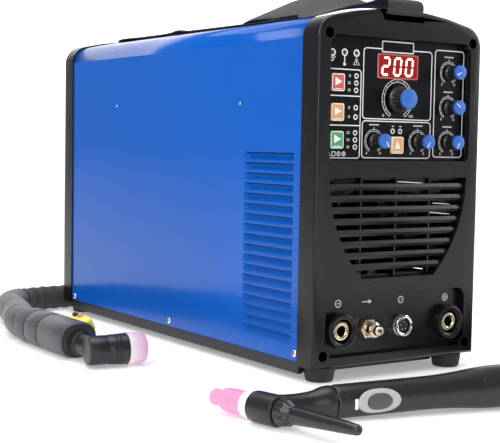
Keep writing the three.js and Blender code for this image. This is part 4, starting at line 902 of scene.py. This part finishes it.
def knob(name, x, z, body_radius, cap_radius, pointer):
    back, face = PANEL - 0.8, PANEL - 17.8
    body = Shape().turned([(0.02, face + 4), (cap_radius - 1, face + 4), (cap_radius - 0.4, face + 4.4),
        (cap_radius - 0.2, face + 5.2), (body_radius - 1.3 if body_radius > 9 else body_radius - 0.8,
        back - 6), (body_radius - 0.9, back - 4.2), (body_radius, back - 3), (body_radius, back - 0.4),
        (body_radius - 0.5, back), (0.02, back)], segments=96, flutes=18 if body_radius > 9 else 14,
        depth=0.9, fluted=(face + 4.3, back - 4.5))
    place_at = at(x, 0, z + LIFT)
    build(name + "_grip", body, KNOB_BLACK, name + "_body", "knob_black", [name], matrix=place_at)
    cap = Shape().turned([(0.02, face), (cap_radius - 1.5, face), (cap_radius - 0.8, face + 0.25),
        (cap_radius - 0.15, face + 0.9), (cap_radius, face + 1.5), (cap_radius, face + 3.4),
        (cap_radius - 0.4, face + 3.95), (0.02, face + 4)], segments=96, flutes=24, depth=0.35,
        fluted=(face + 1.0, face + 3.6))
    if pointer is not None:
        a = radians(90 - pointer)
        c, s = cos(a), sin(a)
        bar = [(c * r - s * w, s * r + c * w)
            for r, w in ((0.6, -.42), (cap_radius - 0.5, -.42), (cap_radius - 0.5, .42), (0.6, .42))]
        cap.prism(bar, face - 0.05, face + 0.1, paint=1)
    build(name + "_cap", cap, [KNOB_BLUE, INK], name + "_body", "knob_black", matrix=place_at, angle=25)


def panel():
    refined("control_panel", "machine", PANEL_FILM, "panel_print", 0.2, 2)
    panel_print()
    display()
    buttons()
    knob("current_knob", -0.5, 236, 12, 9, None)
    for name, (x, z, pointer) in KNOBS.items():
        knob(name, x, z, 7, 6.6, pointer)


# ---------------------------------------------------------------- sockets
def sockets():
    z = 31.5 + LIFT
    face, seat = PANEL - 10, PANEL - 0.3
    for side, x in (("negative", -63.2), ("positive", 63.2)):
        collar = Shape().turned([(10.6, PANEL + 11.9), (10.6, face + 1.6), (10.9, face + 1.0),
            (11.8, face + 0.5), (13.2, face + 0.25), (13.4, face), (14.4, face), (15.1, face + 0.4),
            (15.45, face + 1.2), (15.5, seat), (12, seat), (12, PANEL + 11.9), (10.6, PANEL + 11.9)],
            at(x, 0, z), 72)
        build(f"socket_collar_{side}_ring", collar, SLAT_PLASTIC, "machine", "black_plastic",
            [f"socket_collar_{side}"])
        insert = Shape().turned([
            (0.02, face + 24), (4.8, face + 24), (4.8, face + 3.9), (5.2, face + 3.3), (5.8, face + 3.05),
            (7.6, face + 3.0), (8.2, face + 3.3), (8.4, face + 4), (8.4, PANEL + 12), (0.02, PANEL + 12.2)],
            at(x, 0, z), 64)
        insert.paint = [1 if 2 <= i // 64 <= 6 else 0 for i in range(len(insert.faces))]
        insert.block(x - 9.6, x - 7.6, face + 3.1, PANEL + 6, z - 1.4, z + 1.4, paint=1)
        build(f"socket_insert_{side}_core", insert, [BRASS, PALE_BRASS], "machine", "brass",
            [f"socket_insert_{side}"])

    outlet = Shape()
    nut_front, nut_back = seat - 6.8, seat - 0.1
    nut = ((8.6, nut_front - 0.2), (9.5, nut_front + 0.5), (9.6, nut_front + 0.9), (9.6, nut_back - 0.5),
        (9.0, nut_back))
    outlet.rings([[(r * cos(radians(a)), y, r * sin(radians(a))) for a in range(0, 360, 60)] for r, y in nut])
    profile = [(1.8, seat - 14), (1.8, seat - 21.2), (2.3, seat - 21.5), (3.7, seat - 21.5),
        (4.2, seat - 20.9), (4.8, seat - 19), (4.8, seat - 16.4), (4.4, seat - 16.0), (4.4, seat - 15.2),
        (6.5, seat - 14.4)]
    y = seat - 14.2
    while y < seat - 8.4:
        profile += [(6.75, y), (6.75, y + 0.28), (6.2, y + 0.6), (6.2, y + 0.8)]
        y += 1.0
    profile += [(6.0, seat - 7.8), (6.0, seat - 6), (4.9, seat - 6), (4.9, PANEL + 13.8),
        (0.02, PANEL + 13.8)]
    outlet.turned(profile, segments=48)
    build("gas_outlet_fitting", outlet, NICKEL, "machine", "nickel", ["gas_outlet"], matrix=at(-31.5, 0, z))

    face = PANEL - 8
    shell = Shape().turned([(0.02, face + 6.4), (7, face + 6.4), (7, face + 1.0), (7.2, face + 0.5),
        (7.9, face + 0.1), (8.8, face), (9.4, face + 0.3), (9.8, face + 1.0), (9.8, face + 3.0),
        (9.45, face + 3.3), (9.45, face + 3.8), (9.8, face + 4.1), (9.8, seat), (7.8, seat),
        (7.8, PANEL + 11.9), (0.02, PANEL + 11.9)], segments=72)
    shell.paint = [1 if i // 72 == 0 else 0 for i in range(len(shell.faces))]
    core = Shape().turned([(0.02, face + 2.6), (5.6, face + 2.6), (5.9, face + 2.9), (5.9, face + 6.4)],
        segments=48)
    shell.add(core.verts, core.faces, paint=1)
    for a in (20, 92, 164, 236, 308):
        shell.turned([(0.02, face + 1.1), (0.5, face + 1.2), (0.62, face + 1.5), (0.62, face + 3)],
                     at(3.6 * cos(radians(a)), 0, 3.6 * sin(radians(a))), 14, paint=2)
    shell.block(-0.9, 0.9, face + 1.2, face + 6.3, 5.6, 7.2, paint=0)
    build("control_socket_shell", shell, [CHROME, SEAM_BLACK_AND_HOLE_SHADE, PALE_BRASS], "machine", "chrome",
        ["control_socket"], matrix=at(8.5, 0, z))


# ---------------------------------------------------------------- rear
def rear():
    refined("power_switch", "power_switch_body", BLACK_PLASTIC, "black_plastic", 0.5, 3)
    refined("cable_gland", "machine", TORCH_BLACK, "black_plastic", 0.5, 3)
    refined("gas_inlet", "machine", BRASS, "brass", 0.35, 2)
    refined("fan_frame", "machine", BLACK_PLASTIC, "black_plastic", 0.5, 2)
    fan = Shape()
    y0, y1 = 201, 223
    fan.turned([(0.02, y0), (17.5, y0), (19.4, y0 + 0.8), (20, y0 + 2.4), (20, y1 - 1.2), (19.2, y1),
        (0.02, y1)], segments=56)
    for i in range(7):
        rows = []
        for k in range(9):
            r = 18 + 35 * k / 8
            spin = radians(360 * i / 7 + 10 * (k / 8) ** 1.5)
            pitch = radians(52 - 16 * k / 8)
            chord = 12.5 + 2.5 * sin(pi * k / 8)
            rows.append([])
            for j in range(9):
                s = (j / 8 - 0.5) * chord
                camber = 1.6 * (1 - (2 * j / 8 - 1) ** 2)
                across, along = s * cos(pitch) - camber * sin(pitch), s * sin(pitch) + camber * cos(pitch)
                x, z = r * sin(spin) + across * cos(spin), r * cos(spin) - across * sin(spin)
                rows[-1].append((x, (y0 + y1) / 2 + along * 0.8, z))
            back = [(px, py + 0.9, pz) for px, py, pz in reversed(rows[-1])]
            rows[-1] += back
        fan.rings(rows)
    build("fan_rotor_blades", fan, TORCH_BLACK, "fan_rotor_body", "black_plastic", ["fan_rotor"],
        matrix=at(0, 0, 157.5))


def insides():
    for name, material in {
            "control_board": BOARD, "power_board": BOARD, "heatsink": ALUMINIUM, "main_transformer": COPPER,
            "solenoid_valve": BRASS}.items():
        nodes[name].data.materials.clear()
        nodes[name].data.materials.append(material)


# ---------------------------------------------------------------- carry strap
def strap_line():
    """The webbing's middle line from the side, as (y, z) above the bezel's bottom edge."""
    top = [(-236, 311.1), (-246, 310.9), (-254.5, 310.8), (-257.8, 312.8), (-258.8, 317), (-257.6, 321),
        (-253, 323.6), (-245, 323.8), (-232, 322.2), (-215, 321.4), (-195, 322.2), (-170, 324.0),
        (-145, 326.2), (-118, 328.6), (-92, 330.4), (-70, 331.0)]
    fold = [(-52, 330.8), (-43, 329.6), (-38.4, 327.6), (-39.5, 325.9), (-46, 325.2), (-60, 323.2),
        (-84, 319.9), (-115, 319.4)]
    return top, fold


def strap():
    t = 2.0
    top, fold = strap_line()
    path = top + fold
    rear = [(-118, 316.9), (-60, 317.1), (20, 317.5), (70, 317.9), (96, 318.4), (111, 320.2), (126, 318.6),
        (160, 317.9), (200, 318.1), (238, 318.8), (250, 318.5), (255.4, 317.7), (257.2, 315.3),
        (256.9, 312.6), (254.5, 310.8), (246, 310.9), (236, 311.1)]

    def webbing(name, points, width, lean=0.0):
        fine = smooth([(y, z) for y, z in points], 2.5)
        rings = []
        furthest = max(range(len(fine)), key=lambda i: fine[i].x)
        turn_back = length_of(fine[:furthest + 1]) * 1000
        run = 0.0
        for i, p in enumerate(fine):
            run += (p - fine[i - 1]).length if i else 0
            ahead = (fine[min(i + 1, len(fine) - 1)] - fine[max(i - 1, 0)]).normalized()
            normal = Vector((-ahead.y, ahead.x, 0))
            ring = []
            cross = 12
            for k in range(cross + 1):
                x = -width / 2 + width * k / cross
                edge = 1 - 0.45 * (abs(2 * k / cross - 1) > 0.99)
                ring.append((x, 1, edge))
            for k in range(cross, -1, -1):
                x = -width / 2 + width * k / cross
                edge = 1 - 0.45 * (abs(2 * k / cross - 1) > 0.99)
                ring.append((x, -1, edge))
            rise = max(0, min(1, (p.x + 215) / 80)) if run < turn_back else max(0, 1 - (run - turn_back) / 60)
            tilt = radians(lean) * rise * rise * (3 - 2 * rise)
            skew = 0.95 * rise ** 2 if lean else 0
            placed = []
            for x, side, edge in ring:
                c = p + normal * (side * t / 2 * edge)
                placed.append((x * cos(tilt), c.x - skew * x, c.y + LIFT + x * sin(tilt)))
            rings.append(placed)
        shape = Shape().rings(rings)
        made = build(name, shape, WEBBING, "machine", "webbing", angle=50, matrix=at(-2, 0, 0))
        return made, length_of(fine)

    front, front_length = webbing("strap_front_run", path, 40, 31)
    back, back_length = webbing("strap_rear_run", rear, 40)
    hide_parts("carry_strap")
    print("strap", front_length, back_length)
    stitches = Shape()
    for x in (-17.5, 17.5):
        for k in range(16):
            y = 180 + 3.4 * k
            stitches.rings([[(x + 0.3 * cos(a), yy, 319.2 + LIFT + 0.28 * sin(a))
                for a in [tau * i / 6 for i in range(6)]] for yy in (y, y + 2.3)])
    build("strap_stitching", stitches, THREAD, "machine", "webbing")


# ---------------------------------------------------------------- TIG torch
TIG_FRAME = at(-208, -351, 6.05) @ turn(-12, "Z") @ turn(-1.4623, "Y")
ON_HEAD, ON_HANDLE = turn(22, "Z"), turn(-90, "Z")


def on_curve(rings, centre):
    """Ovals wrapped round the handle: pairs of scale and radius from the handle's axis, on the -Y side."""
    made = []
    for scale_by, radius, rx, rz in rings:
        ring = []
        for i in range(48):
            a = tau * i / 48
            z = rz * scale_by * sin(a)
            squared = abs(cos(a)) ** 0.8 * (1 if cos(a) >= 0 else -1)
            ring.append((centre + rx * scale_by * squared, -sqrt(radius ** 2 - z ** 2), z))
        made.append(ring)
    return made


def tig_torch():
    body = "tig_torch"
    nozzle = Shape().turned([(4.9, 31), (4.9, 56.2), (5.2, 56.9), (5.8, 57.0), (6.35, 56.6), (6.6, 55.6),
        (6.6, 54.2), (6.3, 53.4), (6.3, 49.8), (6.8, 48.4), (7.8, 46), (8.7, 43.4), (9.2, 40), (9.4, 36),
        (9.4, 20.9), (5, 20.9), (4.9, 31)], ON_HEAD, 64)
    build("tig_nozzle_cup", nozzle, CERAMIC, body, "pink_ceramic", ["tig_nozzle"], matrix=TIG_FRAME)
    ring = Shape().turned([(4, 12.3), (10.0, 12.3), (10.4, 12.8), (10.4, 19.6), (9.9, 20.5), (4, 20.6)],
        ON_HEAD, 56)
    build("tig_insulator_ring", ring, WHITE_PLASTIC, body, "white_insulator", ["tig_insulator"],
        matrix=TIG_FRAME)
    collet = Shape().turned([(0.02, 30), (3.3, 30), (3.3, 45), (2.4, 47.5), (1.25, 48), (1.2, 55),
        (0.95, 56.2), (0.02, 56.6)], ON_HEAD, 28)
    build("tig_collet_and_electrode", collet, BRASS, body, "brass", matrix=TIG_FRAME)

    head = Shape().turned([(0.02, -15), (9.6, -15), (10.9, -14.7), (11.7, -14), (12, -12.8), (12, 9.4),
        (11.7, 10.9), (10.8, 11.8), (9.4, 12), (0.02, 12)], ON_HEAD, 64)
    rings = []
    for t, ry, rz, lift in ((0, 9.5, 10.4, 0), (9, 9.4, 10.0, 0), (16, 9.0, 9.3, 0), (24, 8.9, 9.1, 0),
            (33, 9.2, 9.4, 0), (39, 10.0, 10.3, 0), (43.5, 11.6, 11.8, 0), (46.5, 12.4, 12.5, 0),
            (49.5, 12.75, 12.8, 0), (52.2, 12.8, 12.8, 0), (53.2, 12.4, 12.4, 0), (53.6, 11.4, 11.4, 0)):
        ring = []
        for i in range(56):
            a = tau * i / 56
            c, s = cos(a), sin(a)
            flat = 1 - 0.07 * max(0, 1 - t / 36) * max(0, s) ** 6
            ring.append((t, ry * c, rz * s * flat + lift))
        rings.append(ring)
    head.rings(rings)
    build("tig_head_body", head, TORCH_BLACK, body, "torch_black", ["tig_head"], matrix=TIG_FRAME, angle=28)

    cap = Shape().turned([(0.02, -92), (1.5, -92), (1.5, -90), (1.55, -92.02), (2.6, -92), (3.4, -91.5),
        (3.9, -90.4), (4.7, -80), (5.75, -55), (6.9, -31.2), (7.4, -28.6), (8.6, -26.2), (9.9, -24.2),
        (10.25, -22.6), (10.25, -16.2), (9.8, -15.4), (0.02, -15.3)], ON_HEAD, 72, flutes=9, depth=1.3,
        fluted=(-30, -17))
    # A dark disc at the tip is painted shade for the hole in the cap.
    hole = Shape().turned([(0.02, -92.05), (1.5, -92.05), (1.5, -92.1), (0.02, -92.1)], ON_HEAD, 20)
    cap.add(hole.verts, hole.faces, paint=1)
    build("tig_back_cap_tail", cap, [TORCH_GLOSS, PAINTED_HOLE_SHADE], body, "torch_black", ["tig_back_cap"],
        matrix=TIG_FRAME)

    grip = Shape()
    rings = []
    for t, r in ((54, 0.02), (54, 11.6), (54.3, 12.3), (55.2, 12.8), (57, 13), (80, 13.05), (105, 13),
            (125, 13.0), (142, 13.25), (155, 13.9), (167, 14.9), (178, 15.9), (188, 16.7), (196, 17),
            (205, 16.9), (214, 16.2), (225, 14.9), (236, 13.6), (247, 12.4), (255, 11.5), (258, 11.1),
            (259, 10.4), (259, 0.02)):
        ring = []
        for i in range(72):
            a = tau * (i + 0.5) / 72
            groove = 0.22 * (min(abs(a - pi / 2), abs(a - 3 * pi / 2)) < 0.05) * (r > 5)
            side = 1 - 0.05 * max(0, -cos(a)) ** 4 * (60 < t < 120)
            ring.append((t, (r - groove) * cos(a) * side, (r - groove) * sin(a)))
        rings.append(ring)
    grip.rings(rings)
    build("tig_handle_grip", grip, TORCH_BLACK, body, "torch_black", ["tig_handle"], matrix=TIG_FRAME,
        angle=40)

    bezel = Shape().rings(on_curve([(1.0, 11.5, 18.2, 9.3), (1.0, 13.2, 18.2, 9.3),
        (0.975, 13.8, 18.2, 9.3), (0.93, 14.1, 18.2, 9.3), (0.86, 14.25, 18.2, 9.3), (0.66, 14.1, 17.2, 10),
        (0.62, 13.8, 17.2, 10), (0.6, 13.0, 17.2, 10), (0.58, 12, 17.2, 10)], 88))
    build("tig_switch_bezel_ring", bezel, PALE_GREY, body, "pale_grey", ["tig_switch_bezel"],
        matrix=TIG_FRAME)
    button = Shape().rings(on_curve([(0.59, 12, 17.2, 10), (0.585, 14.1, 17.2, 10), (0.56, 14.75, 17.2, 10),
        (0.5, 15.05, 17.2, 10), (0.4, 15.1, 17.2, 10), (0.2, 14.95, 17.2, 10), (0.01, 14.9, 17.2, 10)], 88))
    build("tig_switch_button_pad", button, TORCH_GREY, "tig_switch_button_body", "torch_black",
        ["tig_switch_button"], matrix=TIG_FRAME)

    window = []
    for y, inset in ((-12.2, 0), (-13.12, 0), (-13.3, 0.35)):
        window.append([(x, y * (1 if abs(z) < 3 else 0.985), z - 0.6)
            for x, z in rounded(67.2 + inset, 69.9 - inset, -4 + inset, 4 - inset, 0.4, 3)])
    build("tig_handle_mark", Shape().rings(window), WHITE_PLASTIC, body, "white_insulator", matrix=TIG_FRAME)
    for i, (t, degrees, r) in enumerate([(63, 28, 13), (115, 62, 13), (182, 34, 16.15)]):
        a = radians(180 - degrees)
        way = Vector((0, cos(a), sin(a)))
        turned_way = (TIG_FRAME.to_3x3() @ way)
        spot = TIG_FRAME @ Vector((t, (r - 0.25) * cos(a), (r - 0.25) * sin(a)))
        well = Shape().turned([(2.5, -1.5), (2.5, 0.25), (2.3, 0.42), (1.9, 0.3), (1.75, 0.1), (1.7, -0.1),
            (0.02, -0.1)], segments=24)
        # The well's inner wall and floor carry painted shade.
        well.paint = [1 if k // 24 >= 4 else 0 for k in range(len(well.faces))]
        build(f"tig_handle_screw_well_{i + 1}", well, [TORCH_BLACK, PAINTED_HOLE_SHADE], body, "torch_black",
              matrix=at(*spot) @ Vector((0, 1, 0)).rotation_difference(turned_way).to_matrix().to_4x4())

    relief = Shape()
    profile = [(0.02, 259.3), (9.6, 259.3), (10, 259.8), (10, 264.6)]
    t = 265.0
    while t < 299:
        r = 10 - 2.6 * (t - 265) / 36
        profile += [(r, t), (r, t + 2.6), (r - 0.9, t + 2.9), (r - 0.9, t + 3.7)]
        t += 4.0
    profile += [(7.2, t), (7.0, 301), (6.2, 301.2)]
    relief.turned(profile, ON_HANDLE, 48)
    build("tig_strain_relief_boot", relief, RUBBER, body, "rubber", ["tig_strain_relief"], matrix=TIG_FRAME,
        angle=50)


# ---------------------------------------------------------------- plasma torch
PLASMA_FRAME = at(-216.6, -48, 11.6)
TRIGGER_FRAME = PLASMA_FRAME @ turn(-30, "Y")


def plasma_torch():
    body = "plasma_torch"
    way = at(0, -44, -1.9) @ turn(-98, "Z")
    head = Shape().turned([(0.02, -13), (11.4, -13), (12.6, -12.7), (13.2, -12.1), (13.5, -11.1), (13.5, 4),
        (13.3, 5.4), (13.3, 6), (13.7, 7.2), (14.0, 12.2), (13.6, 12.7), (13.6, 13.4), (14.1, 13.9),
        (14.2, 16.4), (13.8, 16.9), (13.8, 17.6), (14.3, 18.1), (14.5, 24.2), (14.1, 25), (12, 25),
        (0.02, 25)], way, 72)
    neck = Shape().turned([(0.02, -46), (9.6, -44), (9.6, -34), (9.9, -20), (10.5, -14), (10.5, -9.4),
        (11.6, -9), (12, -8.4), (12, -5.6), (11.6, -5), (10.8, -4.8), (10.8, -2.6), (12.4, -2.2),
        (12.6, 0.4), (0.02, 0.5)], at(0, 0, -1.9), 64)
    head.add(neck.verts, neck.faces)
    build("plasma_head_body", head, TORCH_BLACK, body, "torch_black", ["plasma_head"], matrix=PLASMA_FRAME,
        angle=24)
    cup = Shape().turned([(6, 25.3), (15.1, 25.3), (15.6, 25.7), (15.6, 27.6), (15.2, 30), (14.0, 38),
        (13.3, 41.4), (12.8, 42.6), (12.0, 43.0), (9.8, 43.0), (9.2, 42.6), (9, 41.6), (9, 39.2),
        (3.4, 39.2), (3.2, 40.6), (1.2, 40.8), (1.2, 39), (0.02, 39)], way, 72)
    build("plasma_cup_shield", cup, [CUP], body, "pink_ceramic", ["plasma_cup"], matrix=PLASMA_FRAME)

    wide = 1.12
    grip = Shape()
    rings = []
    grooves = [(t + d, 17.5 - cut) for t in (56, 88)
               for d, cut in ((0, 0), (1.0, 0.5), (1.6, 1.7), (2.6, 1.7), (3.2, 0.5), (4.2, 0))]
    for t, r in ((1.6, 0.02), (1.6, 14.6), (0.6, 15.0), (0, 15.7), (0.3, 16.4), (1.4, 16.9), (3.4, 17.2),
            (8, 17.45), (14, 17.5), *grooves, (110, 17.4), (114, 17.0), (116.4, 16.2), (117.6, 15.0),
            (117.8, 13), (117.8, 0.02)):
        ring = []
        for i in range(72):
            a = tau * (i + 0.5) / 72
            c, s = cos(a), sin(a)
            power = 0.8
            squared = (abs(c) ** power * (1 if c >= 0 else -1), abs(s) ** power * (1 if s >= 0 else -1))
            lean = 4.0 * max(0, 1 - t / 26) * (0.5 - 0.5 * s) * (r > 13)
            floor_cut = max(r * squared[1], -17.55)
            ring.append((r * squared[0] * wide, t + lean * 0.6, floor_cut))
        rings.append(ring)
    grip.rings(rings)
    grip.paint = [1 if k // 72 < 2 else 2 if k // 72 in (10, 11, 12, 16, 17, 18) else 0
        for k in range(len(grip.faces))]
    build("plasma_handle_grip", grip, [TORCH_GREY, TORCH_DARK, SEAM_BLACK_AND_HOLE_SHADE], body, "torch_grey",
        ["plasma_handle"], matrix=PLASMA_FRAME, angle=30)
    for k, t in enumerate((20, 24.5, 29)):
        band = [[(17.62 * wide * cos(a), y, 17.62 * sin(a))
            for a in [radians(188 + 52 * i / 12) for i in range(13)]] for y in (t, t + 0.9)]
        build(f"plasma_grip_rib_{k + 1}", Shape().rings(band, close=False, caps=False), TORCH_DARK, body,
            "torch_grey", matrix=PLASMA_FRAME)

    guard = Shape()
    shape = [(13, 58), (16.5, 24), (19.5, 15.2), (22.5, 13.4), (25.4, 14.6), (27.4, 20), (28.6, 30),
        (26.8, 42), (22.6, 56), (20.5, 63.4), (13, 64)]
    guard.rings([[(x, y, z) for x, y in shape] for z in (-6, 6)])
    build("plasma_trigger_lever", guard, YELLOW, "plasma_trigger_body", "yellow_plastic",
        ["plasma_trigger"], 1.6, 4, matrix=TRIGGER_FRAME)
    catch = Shape().block(22.6, 26.6, 43, 51, 5.4, 8.2)
    build("plasma_trigger_catch", catch, SEAM_BLACK_AND_HOLE_SHADE, "plasma_trigger_body", "torch_black", bevel=0.8,
        segments=3, matrix=TRIGGER_FRAME)
    tab = Shape().block(23.2, 27.0, 34, 41, 5.4, 7.6)
    build("plasma_trigger_tab", tab, ORANGE, "plasma_trigger_body", "yellow_plastic", bevel=0.7, segments=3,
        matrix=TRIGGER_FRAME)
    # Screw wells: near-flat discs in the seams' near-black, painted shade standing for the holes.
    for k, (x, y, z) in enumerate([(-12.0, 50, 14.2), (-14.0, 80, 12.2), (-18.6, 62, -6.6)]):
        way_out = Vector((x / wide, 0, z)).normalized()
        spot = PLASMA_FRAME @ Vector((way_out.x * 17.3 * wide * 1.04, y, way_out.z * 17.3 * 1.04))
        well = Shape().turned([(2.3, -1.2), (2.3, 0.1), (2.0, 0.2), (1.8, -0.05), (0.02, -0.05)], segments=24)
        build(f"plasma_grip_screw_well_{k + 1}", well, SEAM_BLACK_AND_HOLE_SHADE, body, "torch_grey",
              matrix=at(*spot) @ Vector((0, 1, 0)).rotation_difference(way_out).to_matrix().to_4x4())

    route = smooth(PLASMA_ROUTE, 1.5)
    lengths = [0]
    for a, b in zip(route, route[1:]):
        lengths.append(lengths[-1] + (b - a).length)
    start = 0.0
    for k, (radius, end) in enumerate([(16.8, 68), (15.8, 136), (14.8, 206)]):
        path = [p + Vector((0, 0, FLOOR + radius + 0.1))
            for p, s in zip(route, lengths) if start + 0.4 <= s <= end - 0.4]
        path = evenly(path, 1.0)
        total = length_of(path) * 1000
        mid = total / 2

        def outline_at(s, radius=radius, total=total, mid=mid):
            near = min(s, total - s)
            rim = 2.6 * (1 - min(1, near / 2.2)) ** 2
            seam = 1.5 * max(0, 1 - abs(s - mid) / 1.3)
            return radius - rim - seam

        made = Shape().rings(swept(path, outline_at, 48))
        build(f"plasma_segment_{k + 1}_shell", made, TORCH_GREY, body, "torch_grey",
            [f"plasma_segment_{k + 1}"])
        start = end + 0.3
    core = evenly([p + Vector((0, 0, FLOOR + 14.5)) for p, s in zip(route, lengths) if s <= 208], 4)
    build("plasma_segment_liner", Shape().rings(swept(core, 12.4, 32)), SEAM_BLACK_AND_HOLE_SHADE, body, "rubber")


housing()
cover()
panel()
sockets()
rear()
insides()
strap()
tig_torch()
plasma_torch()


# ---------------------------------------------------------------- studio
def studio():
    mesh = bpy.data.meshes.new("floor")
    mesh.from_pydata([(-6, -6, FLOOR / 1000 - 0.0003), (6, -6, FLOOR / 1000 - 0.0003),
        (6, 9, FLOOR / 1000 - 0.0003), (-6, 9, FLOOR / 1000 - 0.0003)], [], [(0, 1, 2, 3)])
    mesh.materials.append(finish("floor", (0.9, 0.9, 0.905), 0.6, tint=0.005, relief=0, cloud=2, grain=40,
                                 Emission_Color=(1, 1, 1, 1), Emission_Strength=0.3))
    floor = bpy.data.objects.new("floor", mesh)
    scene.collection.objects.link(floor)
    wall = bpy.data.meshes.new("backdrop")
    way, across = Vector((0.553, 0.833, 0)), Vector((0.833, -0.553, 0))
    foot = way * 5
    corners = [foot - across * 5, foot + across * 5]
    wall.from_pydata([(*corners[0][:2], -0.1), (*corners[1][:2], -0.1), (*corners[1][:2], 5),
        (*corners[0][:2], 5)], [], [(0, 1, 2, 3)])
    wall.materials.append(finish("backdrop", (0.9, 0.9, 0.9), 0.7, tint=0.005, relief=0, cloud=2, grain=40,
                                 Emission_Color=(1, 1, 1, 1), Emission_Strength=1.0))
    backdrop = bpy.data.objects.new("backdrop", wall)
    scene.collection.objects.link(backdrop)
    world = bpy.data.worlds.new("studio")
    world.use_nodes = True
    world.node_tree.nodes["Background"].inputs["Color"].default_value = (1, 1, 1, 1)
    world.node_tree.nodes["Background"].inputs["Strength"].default_value = 0.3
    scene.world = world
    scene.view_settings.view_transform = "Standard"

    def softbox(name, place, aim, size, power):
        data = bpy.data.lights.new(name, "AREA")
        data.shape, data.size, data.size_y, data.energy = "RECTANGLE", *size, power
        lamp_object = bpy.data.objects.new(name, data)
        lamp_object.location = place
        lamp_object.rotation_euler = (Vector(aim) - Vector(place)).to_track_quat("-Z", "Y").to_euler()
        scene.collection.objects.link(lamp_object)

    softbox("key", (-1.9, -0.9, 1.5), (0, 0, 0.15), (0.9, 1.6), 30)
    softbox("top", (-0.2, 0.1, 2.2), (0, 0, 0.2), (1.8, 1.8), 34)
    softbox("front_left", (-0.9, -2.4, 0.5), (0, -0.3, 0.15), (0.35, 1.4), 10)
    softbox("right", (1.8, -1.2, 0.9), (0, -0.2, 0.15), (0.5, 1.4), 12)


studio()
